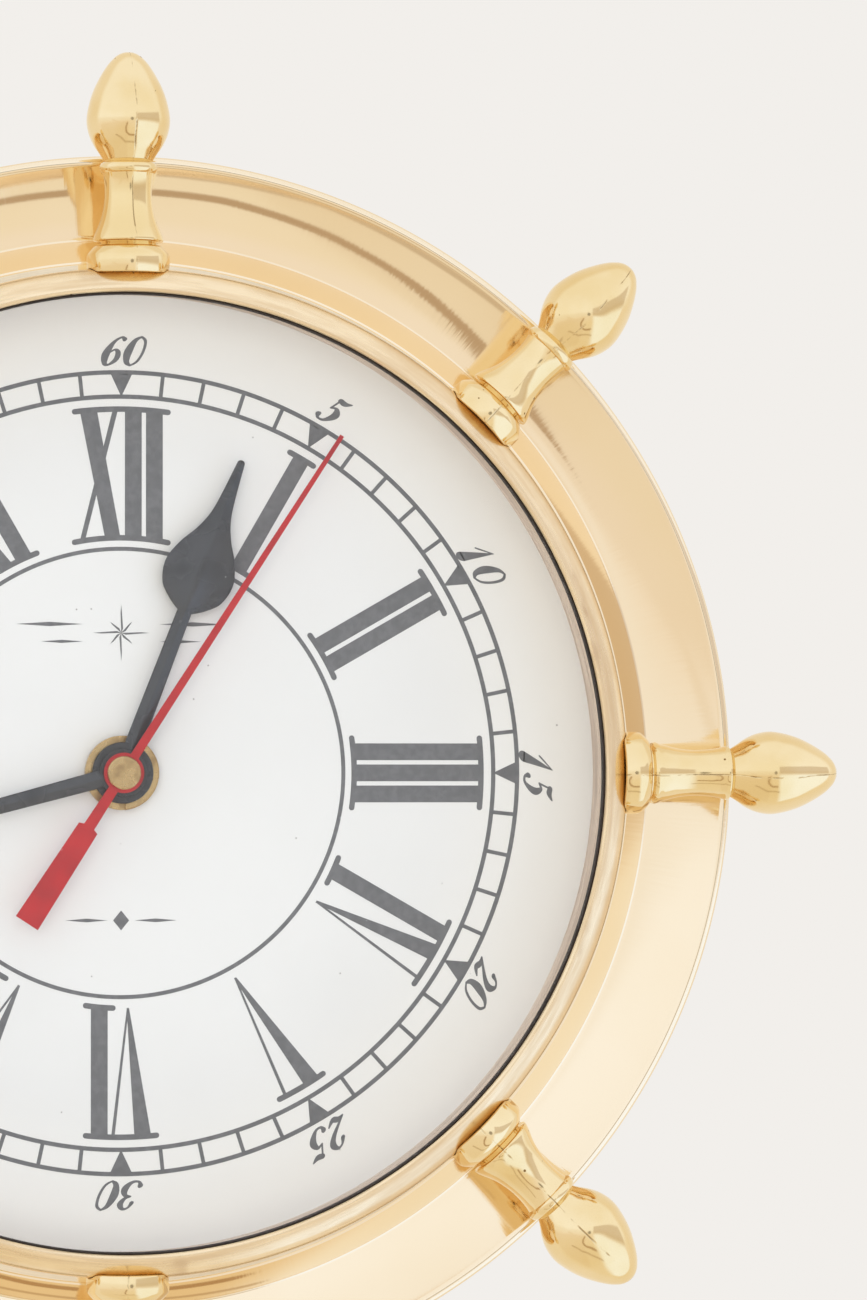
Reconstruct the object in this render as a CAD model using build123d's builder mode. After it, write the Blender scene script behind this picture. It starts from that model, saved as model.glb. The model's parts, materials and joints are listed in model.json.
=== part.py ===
"""Ship's deck clock: a polished brass wheel rim with eight turned handles round a glazed drum, a printed
dial, three hands and a battery quartz movement with its whole gear train.

Frame, in millimetres: +Z up, +X to the right as seen from the front. The origin is on the hands' axis, in the
plane where the clock rests on the wall, and the clock stands out from the wall towards -Y. A "height" is a
distance out from the wall, so a piece at height h is at y = -h.
"""

import os
from math import acos, atan2, cos, degrees, hypot, pi, radians, sin, tan

from build123d import *

os.makedirs("parts", exist_ok=True)

# ---------------------------------------------------------------- driving dimensions
RIM_R = 99.4  # outer radius of the wheel rim
SHEET = 1.2  # thickness of the spun brass
DIAL_H = 20.6  # height of the dial's printed face
DIAL_T = 0.6
LIP_R = 76.5  # radius of the window in the drum's front lip
LIP_H = 37.6  # height of that lip, the front of the drum
DRUM_R = 80.5  # outside of the drum wall, where the handles' collars seat
BORE_R = 78.4  # inside of the drum wall
DRUM_BACK_H = 16.5
HANDLE_COUNT = 8
HANDLE_H = 32.6  # height of the handles' axes
HANDLE_TIP_R = 115.2  # from the hands' axis to the tip of a knob

# the wheel rim's section
SEAT_H = 24.6  # ledge round the foot of the drum
SEAT_R = 82.3
DISH_R = 86.2  # inner edge of the dish
DISH_H = 20.0
DISH_SLOPE = radians(5)  # how steeply the dish leaves its inner edge
CREST_R = 98.0  # outer edge of the dish
CREST_H = 24.0
SKIRT_R = 95.2  # the skirt's radius at the wall
LEDGE_R = 86.0  # inner radius of the ledge that carries the back cover
COVER_BACK_H = 0.2
COVER_T = 1.0
COVER_R = 93.6
SCREW_R = 90.0  # the cover screws' pitch radius
SCREW_COUNT = 4

# glazing
GASKET_T = 0.6
GLASS_T = 2.0
LIP_T = 1.8
GLASS_H = LIP_H - LIP_T - GASKET_T  # height of the glass's front face
SPACER_R = 77.2  # inside of the ring between glass and dial

# handles, as distances from the hands' axis
COLLAR_R = 6.9
COLLAR_END = 84.1
BARREL_START = 84.7
BARREL_END = 97.5
STUD_R = 1.5
STUD_END = 105.0

# hands at rest, clockwise from twelve
HOUR_ANGLE = 21.0
MINUTE_ANGLE = 255.0
SECOND_ANGLE = 33.0
HOUR_LENGTH = 54.0
MINUTE_LENGTH = 62.5
SECOND_LENGTH = 64.9
HOUR_HAND_H = 23.2
MINUTE_HAND_H = 24.2
SECOND_HAND_H = 25.2
HAND_T = 0.35
SECOND_HAND_T = 0.3

# movement
CASE_HALF = 28.0  # half the square case's side
CASE_BACK_H = 3.6
CASE_FRONT_H = 19.2
CASE_SPLIT_H = 7.0
CASE_WALL = 1.2
CASE_FLOOR_H = CASE_FRONT_H - CASE_WALL
REAR_WALL_H = CASE_BACK_H + CASE_WALL
BATTERY_R = 7.0
BATTERY_LENGTH = 49.0
BATTERY_BACK_X = -24.9
BATTERY_H = 10.7
BAY_TOP_Z = -11.4
PLATE_H = 9.0  # rear face of the middle plate
PLATE_T = 0.6
BUSH_R = 4.0
BUSH_TOP_H = 22.8

# arbors, inside out
PIN_R = 0.5
MINUTE_TUBE_R = 1.6
HOUR_TUBE_R = 2.5
RUNNING = 0.08  # radial clearance of a running fit

# gears: teeth and module of each mesh, from the motor to the hour hand
PRESSURE = radians(30)
BACKLASH = 0.06
ADDENDUM = 0.8
DEDENDUM = 1.0
ROTOR_TEETH, STEP_WHEEL_TEETH, STEP_MODULE = 8, 48, 0.25
STEP_PINION_TEETH, SECOND_TEETH, SECOND_MODULE = 8, 40, 0.30
SECOND_PINION_TEETH, THIRD_TEETH, THIRD_MODULE = 8, 60, 0.30
THIRD_PINION_TEETH, CENTRE_TEETH = 8, 64
CANNON_TEETH, MOTION_TEETH, MOTION_MODULE = 12, 36, 0.35
MOTION_PINION_TEETH, HOUR_TEETH = 10, 40
SET_TEETH = 12

THIRD_DISTANCE = THIRD_MODULE * (SECOND_PINION_TEETH + THIRD_TEETH) / 2
CENTRE_MODULE = 2 * THIRD_DISTANCE / (THIRD_PINION_TEETH + CENTRE_TEETH)
MOTION_DISTANCE = MOTION_MODULE * (CANNON_TEETH + MOTION_TEETH) / 2
HOUR_MODULE = 2 * MOTION_DISTANCE / (MOTION_PINION_TEETH + HOUR_TEETH)
STEP_DISTANCE = SECOND_MODULE * (STEP_PINION_TEETH + SECOND_TEETH) / 2
ROTOR_DISTANCE = STEP_MODULE * (ROTOR_TEETH + STEP_WHEEL_TEETH) / 2
SET_DISTANCE = MOTION_MODULE * (SET_TEETH + MOTION_TEETH) / 2


def polar(distance, angle, start=(0.0, 0.0)):
    """The point at that distance and angle, in degrees from +X towards +Z, from start."""
    return (start[0] + distance * cos(radians(angle)), start[1] + distance * sin(radians(angle)))


THIRD_ANGLE = 150.0
MOTION_ANGLE = 40.0
SET_ANGLE = 60.0
STEP_ANGLE = -20.0
ROTOR_ANGLE = 0.0
CENTRE = (0.0, 0.0)
THIRD_AT = polar(THIRD_DISTANCE, THIRD_ANGLE)
MOTION_AT = polar(MOTION_DISTANCE, MOTION_ANGLE)
SET_AT = polar(SET_DISTANCE, SET_ANGLE, MOTION_AT)
STEP_AT = polar(STEP_DISTANCE, STEP_ANGLE)
ROTOR_AT = polar(ROTOR_DISTANCE, ROTOR_ANGLE, STEP_AT)

# heights of the gears' rear faces, and their thicknesses
STEP_WHEEL_H, STEP_PINION_H, STEP_PINION_END = 5.1, 5.8, 7.3
SECOND_H, SECOND_PINION_END = 6.2, 8.9
THIRD_H, THIRD_PINION_END = 7.7, 11.2
CENTRE_H = 10.1
CANNON_H, CANNON_END = 12.2, 14.2
MOTION_H, MOTION_PINION_END = 12.7, 16.8
HOUR_H = 15.2
WHEEL_T = 0.7

PROFILE = Plane(origin=(0, 0, 0), x_dir=(1, 0, 0), z_dir=(0, 0, -1))  # local x is radius, local y is height


def level(height):
    """The plane parallel to the wall at that height: local x is X, local y is Z, and it faces the front."""
    return Plane.XZ.offset(height)


def save(part, name):
    part.label = name
    export_step(part, f"parts/{name}.step")


def disc(start, end, outer, inner=0.0, at=CENTRE, mode=Mode.ADD):
    """Adds, or takes away, a disc or ring about the point at, from height start to height end."""
    with BuildSketch(level(start)) as outline:
        with Locations(at):
            Circle(outer)
            if inner:
                Circle(inner, mode=Mode.SUBTRACT)
    extrude(outline.sketch, amount=end - start, mode=mode)


def block(start, end, width, depth, at=CENTRE, corner=0.0, mode=Mode.ADD):
    """Adds, or takes away, a rectangular block from height start to height end."""
    with BuildSketch(level(start)) as outline:
        with Locations(at):
            if corner:
                RectangleRounded(width, depth, corner)
            else:
                Rectangle(width, depth)
    extrude(outline.sketch, amount=end - start, mode=mode)


def involute(angle):
    return tan(angle) - angle


def gear(teeth, module, start, end, at=CENTRE, phase=0.0, bore=0.0):
    """Adds a spur gear with stub involute teeth, one of them centred on the angle phase, in degrees."""
    pitch_r = module * teeth / 2
    base_r = pitch_r * cos(PRESSURE)
    tip_r = pitch_r + ADDENDUM * module
    root_r = pitch_r - DEDENDUM * module
    flank_r = max(base_r, root_r)
    half_at_pitch = pi / (2 * teeth) - BACKLASH / (4 * pitch_r)

    def half(radius):
        """Half of a tooth's angle at that radius."""
        return half_at_pitch + involute(PRESSURE) - involute(acos(min(1.0, base_r / radius)))

    def point(radius, angle):
        return (at[0] + radius * cos(angle), at[1] + radius * sin(angle))

    pitch_angle = 2 * pi / teeth
    middle_r = (flank_r + tip_r) / 2
    with BuildSketch(level(start)) as outline:
        with BuildLine():
            for tooth in range(teeth):
                centre = radians(phase) + tooth * pitch_angle
                low = half(flank_r)
                if flank_r > root_r:
                    Line(point(root_r, centre - low), point(flank_r, centre - low))
                ThreePointArc(
                    point(flank_r, centre - low),
                    point(middle_r, centre - half(middle_r)),
                    point(tip_r, centre - half(tip_r)),
                )
                Line(point(tip_r, centre - half(tip_r)), point(tip_r, centre + half(tip_r)))
                ThreePointArc(
                    point(tip_r, centre + half(tip_r)),
                    point(middle_r, centre + half(middle_r)),
                    point(flank_r, centre + low),
                )
                if flank_r > root_r:
                    Line(point(flank_r, centre + low), point(root_r, centre + low))
                Line(point(root_r, centre + low), point(root_r, centre + pitch_angle - low))
        make_face()
        if bore:
            with Locations(at):
                Circle(bore, mode=Mode.SUBTRACT)
    extrude(outline.sketch, amount=end - start)


def facing(source, target):
    """The angle, in degrees, from one arbor to another."""
    return degrees(atan2(target[1] - source[1], target[0] - source[0]))


def meshed(teeth, angle):
    """The phase of a gear whose mate has a tooth on the line of centres, seen from the gear at angle."""
    return angle + 180.0 / teeth


def turned(*points):
    """Adds the body turned about the hands' axis from a closed outline of (radius, height) points."""
    with BuildSketch(PROFILE) as outline:
        with BuildLine():
            Polyline(*points, close=True)
        make_face()
    revolve(outline.sketch, axis=Axis.Y)


# ---------------------------------------------------------------- case
LEDGE_H = COVER_BACK_H + COVER_T
SPIGOT_R = DRUM_R - 1.1

with BuildPart() as wheel_rim:
    with BuildSketch(PROFILE):
        with BuildLine():
            Line((SPIGOT_R, SEAT_H), (SEAT_R, SEAT_H))
            Line((SEAT_R, SEAT_H), (DISH_R, DISH_H))
            start = (cos(DISH_SLOPE), sin(DISH_SLOPE))
            dish = TangentArc((DISH_R, DISH_H), (CREST_R, CREST_H), tangent=start)
            crown = TangentArc(dish @ 1, (RIM_R, 22.8), tangent=dish % 1)
            Line(crown @ 1, (98.4, 17.6))
            Line((98.4, 17.6), (SKIRT_R, 4))
            Line((SKIRT_R, 4), (SKIRT_R, 0))
            offset(amount=SHEET, side=Side.RIGHT)
        make_face()
    revolve(axis=Axis.Y)
    disc(LEDGE_H, LEDGE_H + SHEET, SKIRT_R - 0.4, LEDGE_R)
    for index in range(SCREW_COUNT):
        disc(LEDGE_H, LEDGE_H + SHEET, 1.25, at=polar(SCREW_R, 45 + 90 * index), mode=Mode.SUBTRACT)
save(wheel_rim.part, "wheel_rim")

with BuildPart() as drum:
    with BuildSketch(PROFILE):
        with BuildLine():
            wall = Polyline(
                (LIP_R, LIP_H - LIP_T),
                (BORE_R, LIP_H - LIP_T),
                (BORE_R, DRUM_BACK_H),
                (SPIGOT_R, DRUM_BACK_H),
                (SPIGOT_R, SEAT_H),
                (DRUM_R, SEAT_H),
                (DRUM_R, 34.0),
            )
            roll = TangentArc(wall @ 1, (LIP_R + 0.5, LIP_H), tangent=(0, 1))
            Polyline(roll @ 1, (LIP_R, LIP_H - 0.5), wall @ 0)
        make_face()
    revolve(axis=Axis.Y)
    for index in range(HANDLE_COUNT):
        turn = radians(360 / HANDLE_COUNT * index)
        with BuildSketch(Plane((0, -HANDLE_H, 0), (cos(turn), 0, -sin(turn)), (sin(turn), 0, cos(turn)))):
            Circle(STUD_R)
        extrude(amount=DRUM_R + 1, mode=Mode.SUBTRACT)
save(drum.part, "bezel_drum")

with BuildPart() as lock_ring:
    turned((SPIGOT_R, 20.8), (81.6, 20.8), (81.6, SEAT_H - SHEET), (SPIGOT_R, SEAT_H - SHEET))
save(lock_ring.part, "drum_lock_ring")

with BuildPart() as gasket:
    disc(GLASS_H, GLASS_H + GASKET_T, BORE_R, LIP_R + 0.2)
save(gasket.part, "glass_gasket")

with BuildPart() as glass:
    disc(GLASS_H - GLASS_T, GLASS_H, BORE_R - 0.1)
save(glass.part, "glass")

with BuildPart() as spacer:
    disc(DIAL_H, GLASS_H - GLASS_T, BORE_R, SPACER_R)
save(spacer.part, "spacer_ring")

with BuildPart() as dial:
    disc(DIAL_H - DIAL_T, DIAL_H, BORE_R - 0.1, BUSH_R)
save(dial.part, "dial_plate")

with BuildPart() as dial_ring:
    disc(DIAL_H - DIAL_T - 2.5, DIAL_H - DIAL_T, BORE_R, 75.5)
save(dial_ring.part, "dial_lock_ring")

OPENING = 60.0  # side of the square opening for the movement in the back cover
KEYHOLE_Z = 60.0
KEYHOLE_R = 4.0
KEYHOLE_SLOT = 9.0  # how far the slot runs up from the keyhole's centre
with BuildPart() as cover:
    disc(COVER_BACK_H, LEDGE_H, COVER_R)
    block(COVER_BACK_H, LEDGE_H, OPENING, OPENING, corner=4, mode=Mode.SUBTRACT)
    disc(COVER_BACK_H, LEDGE_H, KEYHOLE_R, at=(0, KEYHOLE_Z), mode=Mode.SUBTRACT)
    slot_at = (0, KEYHOLE_Z + KEYHOLE_SLOT / 2)
    block(COVER_BACK_H, LEDGE_H, 3.6, KEYHOLE_SLOT, at=slot_at, mode=Mode.SUBTRACT)
    disc(COVER_BACK_H, LEDGE_H, 1.8, at=(0, KEYHOLE_Z + KEYHOLE_SLOT), mode=Mode.SUBTRACT)
    for index in range(SCREW_COUNT):
        with BuildSketch(level(COVER_BACK_H)):
            with Locations(polar(SCREW_R, 45 + 90 * index)):
                Circle(2.25)
        extrude(amount=COVER_T, taper=45, mode=Mode.SUBTRACT)
save(cover.part, "back_cover")

with BuildPart() as screws:
    for index in range(SCREW_COUNT):
        place = polar(SCREW_R, 45 + 90 * index)
        with BuildSketch(level(COVER_BACK_H)):
            with Locations(place):
                Circle(2.25)
        extrude(amount=COVER_T, taper=45)
        disc(LEDGE_H, 6.0, 1.25, at=place)
        block(COVER_BACK_H, COVER_BACK_H + 0.5, 0.6, 4.5, at=place, mode=Mode.SUBTRACT)
save(screws.part, "cover_screws")

# ---------------------------------------------------------------- handles
BEAD_R = 4.6
KNOB_NECK_R = 3.75
KNOB_R = 6.7


def handle_plane(index):
    """The plane through one handle's axis: local x runs out along it, local y faces the front."""
    turn = radians(360 / HANDLE_COUNT * index)
    return Plane((0, -HANDLE_H, 0), (sin(turn), 0, cos(turn)), (cos(turn), 0, -sin(turn)))


def handle_axis(index):
    plane = handle_plane(index)
    return Axis(plane.origin, plane.x_dir)


with BuildPart() as collars:
    for index in range(HANDLE_COUNT):
        with BuildSketch(handle_plane(index)):
            with BuildLine():
                foot = Polyline(
                    (COLLAR_END, 4.6), (COLLAR_END, STUD_R), (DRUM_R, STUD_R), (DRUM_R, COLLAR_R - 0.3)
                )
                rim = TangentArc(foot @ 1, (DRUM_R + 0.3, COLLAR_R), tangent=(0, 1))
                side = Line(rim @ 1, (DRUM_R + 1.7, COLLAR_R))
                shoulder = TangentArc(side @ 1, (COLLAR_END - 0.5, COLLAR_R - 1.3), tangent=(1, 0))
                Line(shoulder @ 1, foot @ 0)
            make_face()
        revolve(axis=handle_axis(index))
save(collars.part, "handle_collars")

with BuildPart() as studs:
    for index in range(HANDLE_COUNT):
        with BuildSketch(handle_plane(index)):
            with BuildLine():
                Polyline(
                    (BORE_R + 0.1, 0), (STUD_END, 0), (STUD_END, STUD_R), (BORE_R + 0.1, STUD_R), close=True
                )
            make_face()
        revolve(axis=handle_axis(index))
save(studs.part, "handle_studs")

for index in range(HANDLE_COUNT):
    with BuildPart() as barrel:
        with BuildSketch(handle_plane(index)):
            with BuildLine():
                foot = Polyline(
                    (BARREL_START, 5.3),
                    (BARREL_START, 4.6),
                    (COLLAR_END, 4.6),
                    (COLLAR_END, STUD_R),
                    (BARREL_END, STUD_R),
                    (BARREL_END, BEAD_R - 0.3),
                )
                bead = ThreePointArc(foot @ 1, (BARREL_END - 0.35, BEAD_R), (BARREL_END - 0.8, BEAD_R - 0.35))
                waist = Spline(
                    bead @ 1, (94.6, 3.85), (92.0, 3.75), (89.0, 4.2), (86.6, 5.1), (BARREL_START + 0.4, 5.6)
                )
                ThreePointArc(waist @ 1, (BARREL_START + 0.1, 5.6), foot @ 0)
            make_face()
        revolve(axis=handle_axis(index))
    save(barrel.part, f"handle_barrel_{index + 1}")

    with BuildPart() as knob:
        with BuildSketch(handle_plane(index)):
            with BuildLine():
                neck = Polyline(
                    (HANDLE_TIP_R, 0),
                    (STUD_END, 0),
                    (STUD_END, STUD_R),
                    (BARREL_END, STUD_R),
                    (BARREL_END, KNOB_NECK_R),
                )
                Spline(
                    neck @ 1,
                    (100.8, 5.75),
                    (104.8, KNOB_R),
                    (109.8, 5.25),
                    (113.6, 2.85),
                    neck @ 0,
                    tangents=[(1, 0.62), (0, -1)],
                )
            make_face()
        revolve(axis=handle_axis(index))
    save(knob.part, f"handle_knob_{index + 1}")

# ---------------------------------------------------------------- movement case and what is fixed in it
BAY_BOTTOM_Z = -CASE_HALF + CASE_WALL
BAY_Z = (BAY_TOP_Z - 0.8 + BAY_BOTTOM_Z) / 2
BAY_DEPTH = BAY_TOP_Z - 0.8 - BAY_BOTTOM_Z
INSIDE = 2 * (CASE_HALF - CASE_WALL)
BOSS_R = 1.3
HOLE_R = PIN_R + RUNNING

with BuildPart() as movement_front:
    block(CASE_SPLIT_H, CASE_FRONT_H, 2 * CASE_HALF, 2 * CASE_HALF, corner=3)
    block(CASE_SPLIT_H, CASE_FLOOR_H, INSIDE, INSIDE, corner=2, mode=Mode.SUBTRACT)
    block(CASE_SPLIT_H, CASE_FLOOR_H, INSIDE, 0.8, at=(0, BAY_TOP_Z - 0.4))
    disc(CASE_FLOOR_H, BUSH_TOP_H, BUSH_R)
    disc(CASE_FLOOR_H, BUSH_TOP_H, HOUR_TUBE_R + RUNNING, mode=Mode.SUBTRACT)
    disc(12.1, CASE_FLOOR_H, BOSS_R, at=THIRD_AT)
    disc(12.1, 13.6, HOLE_R, at=THIRD_AT, mode=Mode.SUBTRACT)
    disc(12.2, CASE_FLOOR_H, PIN_R, at=MOTION_AT)
    disc(17.0, CASE_FLOOR_H, 1.0, at=MOTION_AT)
    disc(13.8, CASE_FLOOR_H, 2.0, at=SET_AT)
    disc(13.8, 15.6, HOLE_R, at=SET_AT, mode=Mode.SUBTRACT)
save(movement_front.part, "movement_front_case")

with BuildPart() as movement_rear:
    block(CASE_BACK_H, CASE_SPLIT_H, 2 * CASE_HALF, 2 * CASE_HALF, corner=3)
    block(REAR_WALL_H, CASE_SPLIT_H, INSIDE, INSIDE, corner=2, mode=Mode.SUBTRACT)
    block(REAR_WALL_H, CASE_SPLIT_H, INSIDE, 0.8, at=(0, BAY_TOP_Z - 0.4))
    block(CASE_BACK_H, REAR_WALL_H, INSIDE, BAY_DEPTH, at=(0, BAY_Z), mode=Mode.SUBTRACT)
    for place in (CENTRE, THIRD_AT, STEP_AT, ROTOR_AT):
        disc(REAR_WALL_H - 0.8, REAR_WALL_H, HOLE_R, at=place, mode=Mode.SUBTRACT)
    disc(CASE_BACK_H, REAR_WALL_H, 1.0 + RUNNING, at=SET_AT, mode=Mode.SUBTRACT)
    for place in ((18.8, 8.6), (18.8, -9.6)):
        disc(REAR_WALL_H, 7.4, 1.0, at=place)
save(movement_rear.part, "movement_rear_case")

with BuildPart() as middle_plate:
    block(PLATE_H, PLATE_H + PLATE_T, 26.0, 22.0, at=(-6.0, 3.0), corner=2)
    for place in (CENTRE, STEP_AT):
        disc(PLATE_H, PLATE_H + PLATE_T, HOLE_R, at=place, mode=Mode.SUBTRACT)
    disc(PLATE_H, PLATE_H + PLATE_T, 2.0, at=THIRD_AT, mode=Mode.SUBTRACT)
save(middle_plate.part, "middle_plate")

STATOR_H, STATOR_T = 7.4, 0.7
with BuildPart() as stator:
    block(STATOR_H, STATOR_H + STATOR_T, 7.0, 20.4, at=(14.2, -0.5), corner=0.5)
    for arm_z in (8.3, -9.3):
        block(STATOR_H, STATOR_H + STATOR_T, 13.6, 2.8, at=(17.5, arm_z))
    disc(STATOR_H, STATOR_H + STATOR_T, 2.6, at=ROTOR_AT, mode=Mode.SUBTRACT)
save(stator.part, "stator")

CORE_X = 22.4
with BuildPart() as core:
    block(STATOR_H + STATOR_T, STATOR_H + 2 * STATOR_T, 2.4, 20.4, at=(CORE_X, -0.5))
save(core.part, "coil_core")

BOBBIN_H = STATOR_H + 1.5 * STATOR_T
BOBBIN_HALF = 6.8
with BuildPart() as bobbin:
    for flange_z in (BOBBIN_HALF, -BOBBIN_HALF + 0.8):
        with BuildSketch(Plane.XY.offset(flange_z - 0.9)):
            with Locations((CORE_X, -BOBBIN_H)):
                RectangleRounded(7.2, 7.2, 0.8)
        extrude(amount=0.8)
    with BuildSketch(Plane.XY.offset(-BOBBIN_HALF)):
        with Locations((CORE_X, -BOBBIN_H)):
            Rectangle(3.4, 1.9)
    extrude(amount=2 * BOBBIN_HALF - 0.2)
    with BuildSketch(Plane.XY.offset(-BOBBIN_HALF - 1)):
        with Locations((CORE_X, -BOBBIN_H)):
            Rectangle(2.5, 0.8)
    extrude(amount=2 * BOBBIN_HALF + 2, mode=Mode.SUBTRACT)
save(bobbin.part, "coil_bobbin")

with BuildPart() as winding:
    with BuildSketch(Plane.XY.offset(-BOBBIN_HALF + 0.8)):
        with Locations((CORE_X, -BOBBIN_H)):
            RectangleRounded(6.2, 6.0, 1.6)
            Rectangle(3.4, 1.9, mode=Mode.SUBTRACT)
    extrude(amount=2 * BOBBIN_HALF - 1.8)
save(winding.part, "coil_winding")

BOARD_H, BOARD_T = 6.2, 0.8
BOARD_AT = (20.0, 18.4)
with BuildPart() as board:
    block(BOARD_H, BOARD_H + BOARD_T, 12.6, 15.6, at=BOARD_AT)
save(board.part, "circuit_board")

with BuildPart() as chip:
    with BuildSketch(level(BOARD_H + BOARD_T)):
        with Locations((18.2, 21.6)):
            Circle(3.0)
    extrude(amount=1.1, taper=40)
save(chip.part, "chip")

with BuildPart() as crystal:
    with BuildSketch(Plane.XY.offset(11.6)):
        with Locations((24.0, -(BOARD_H + BOARD_T + 1.0))):
            Circle(1.0)
    extrude(amount=6.0)
save(crystal.part, "quartz_crystal")

with BuildPart() as positive_contact:
    with BuildSketch(Plane.YZ.offset(INSIDE / 2 - 0.4)):
        with Locations((-BATTERY_H, BAY_Z)):
            Rectangle(8.0, 9.0)
    extrude(amount=0.4)
save(positive_contact.part, "positive_contact")

with BuildPart() as negative_contact:
    with BuildSketch(Plane.YZ.offset(-INSIDE / 2)):
        with Locations((-BATTERY_H, BAY_Z)):
            Rectangle(9.0, 9.0)
    extrude(amount=0.4)
    with BuildSketch(Plane.YZ.offset(-INSIDE / 2 + 0.4)):
        with Locations((-BATTERY_H, BAY_Z)):
            Circle(3.4)
    extrude(amount=1.0, taper=45)
save(negative_contact.part, "negative_contact")

with BuildPart() as battery:
    with BuildSketch(Plane.YZ.offset(BATTERY_BACK_X)):
        with Locations((-BATTERY_H, BAY_Z)):
            Circle(BATTERY_R)
    extrude(amount=BATTERY_LENGTH)
    fillet(battery.edges().filter_by(GeomType.CIRCLE), 0.5)
    with BuildSketch(Plane.YZ.offset(BATTERY_BACK_X + BATTERY_LENGTH)):
        with Locations((-BATTERY_H, BAY_Z)):
            Circle(2.7)
    extrude(amount=1.2)
save(battery.part, "battery")

# ---------------------------------------------------------------- movement's fastening to the dial
NUT_H = DIAL_H + 0.3
NUT_R = 6.0
NUT_TOP_H = DIAL_H + 2.0
with BuildPart() as rubber_washer:
    disc(CASE_FRONT_H, DIAL_H - DIAL_T, 10.0, BUSH_R)
save(rubber_washer.part, "rubber_washer")

with BuildPart() as brass_washer:
    disc(DIAL_H, NUT_H, NUT_R - 0.2, BUSH_R)
save(brass_washer.part, "brass_washer")

with BuildPart() as dial_nut:
    disc(NUT_H, NUT_TOP_H, NUT_R, BUSH_R)
    block(NUT_TOP_H - 1.0, NUT_TOP_H, 1.1, 2 * NUT_R + 1, mode=Mode.SUBTRACT)
    front = dial_nut.faces().sort_by(Axis.Y)[0:2].edges()
    chamfer(front.filter_by(GeomType.CIRCLE).sort_by(SortBy.RADIUS)[-2:], 0.25)
save(dial_nut.part, "dial_nut")

# ---------------------------------------------------------------- wheels
with BuildPart() as rotor_magnet:
    disc(6.9, 8.6, 2.2, PIN_R, at=ROTOR_AT)
save(rotor_magnet.part, "rotor_magnet")

with BuildPart() as rotor:
    disc(REAR_WALL_H - 0.6, 9.6, PIN_R, at=ROTOR_AT)
    gear(ROTOR_TEETH, STEP_MODULE, STEP_WHEEL_H, 6.4, ROTOR_AT, facing(ROTOR_AT, STEP_AT))
save(rotor.part, "rotor_pinion")

with BuildPart() as step_wheel:
    disc(REAR_WALL_H - 0.6, PLATE_H + PLATE_T, PIN_R, at=STEP_AT)
    step_phase = meshed(STEP_WHEEL_TEETH, facing(STEP_AT, ROTOR_AT))
    gear(STEP_WHEEL_TEETH, STEP_MODULE, STEP_WHEEL_H, STEP_PINION_H, STEP_AT, step_phase)
    gear(STEP_PINION_TEETH, SECOND_MODULE, STEP_PINION_H, STEP_PINION_END, STEP_AT, facing(STEP_AT, CENTRE))
save(step_wheel.part, "step_wheel")

SECOND_TOP_H = SECOND_HAND_H + 0.3
with BuildPart() as second_wheel:
    disc(REAR_WALL_H - 0.6, SECOND_TOP_H, PIN_R)
    gear(SECOND_TEETH, SECOND_MODULE, SECOND_H, SECOND_H + WHEEL_T, phase=meshed(SECOND_TEETH, STEP_ANGLE))
    gear(SECOND_PINION_TEETH, SECOND_MODULE, SECOND_H + WHEEL_T, SECOND_PINION_END, phase=THIRD_ANGLE)
save(second_wheel.part, "second_wheel")

with BuildPart() as third_wheel:
    back = facing(THIRD_AT, CENTRE)
    disc(REAR_WALL_H - 0.6, 13.4, PIN_R, at=THIRD_AT)
    gear(THIRD_TEETH, THIRD_MODULE, THIRD_H, THIRD_H + WHEEL_T, THIRD_AT, meshed(THIRD_TEETH, back))
    gear(THIRD_PINION_TEETH, CENTRE_MODULE, THIRD_H + WHEEL_T, THIRD_PINION_END, THIRD_AT, back)
save(third_wheel.part, "third_wheel")

MINUTE_TOP_H = MINUTE_HAND_H + 0.6
with BuildPart() as centre_wheel:
    centre_phase = meshed(CENTRE_TEETH, THIRD_ANGLE)
    gear(CENTRE_TEETH, CENTRE_MODULE, CENTRE_H, CENTRE_H + WHEEL_T, phase=centre_phase, bore=HOLE_R)
    disc(CENTRE_H + WHEEL_T, MINUTE_TOP_H, MINUTE_TUBE_R, HOLE_R)
    gear(CANNON_TEETH, MOTION_MODULE, CANNON_H, CANNON_END, phase=MOTION_ANGLE, bore=HOLE_R)
save(centre_wheel.part, "centre_wheel")

with BuildPart() as motion_wheel:
    back = facing(MOTION_AT, CENTRE)
    motion_phase = meshed(MOTION_TEETH, back)
    gear(MOTION_TEETH, MOTION_MODULE, MOTION_H, MOTION_H + WHEEL_T, MOTION_AT, motion_phase, HOLE_R)
    pinion_start = MOTION_H + WHEEL_T
    gear(MOTION_PINION_TEETH, HOUR_MODULE, pinion_start, MOTION_PINION_END, MOTION_AT, back, HOLE_R)
save(motion_wheel.part, "motion_wheel")

HOUR_TOP_H = HOUR_HAND_H + 0.6
with BuildPart() as hour_wheel:
    bore = MINUTE_TUBE_R + RUNNING
    hour_phase = meshed(HOUR_TEETH, MOTION_ANGLE)
    gear(HOUR_TEETH, HOUR_MODULE, HOUR_H, HOUR_H + WHEEL_T, phase=hour_phase, bore=bore)
    disc(HOUR_H + WHEEL_T, HOUR_TOP_H, HOUR_TUBE_R, bore)
save(hour_wheel.part, "hour_wheel")

with BuildPart() as set_pinion:
    disc(1.6, MOTION_H, 1.0, at=SET_AT)
    disc(MOTION_H, 15.4, PIN_R, at=SET_AT)
    set_phase = facing(SET_AT, MOTION_AT)
    gear(SET_TEETH, MOTION_MODULE, MOTION_H - 0.2, MOTION_H + WHEEL_T + 0.2, SET_AT, set_phase)
save(set_pinion.part, "set_pinion")

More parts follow.
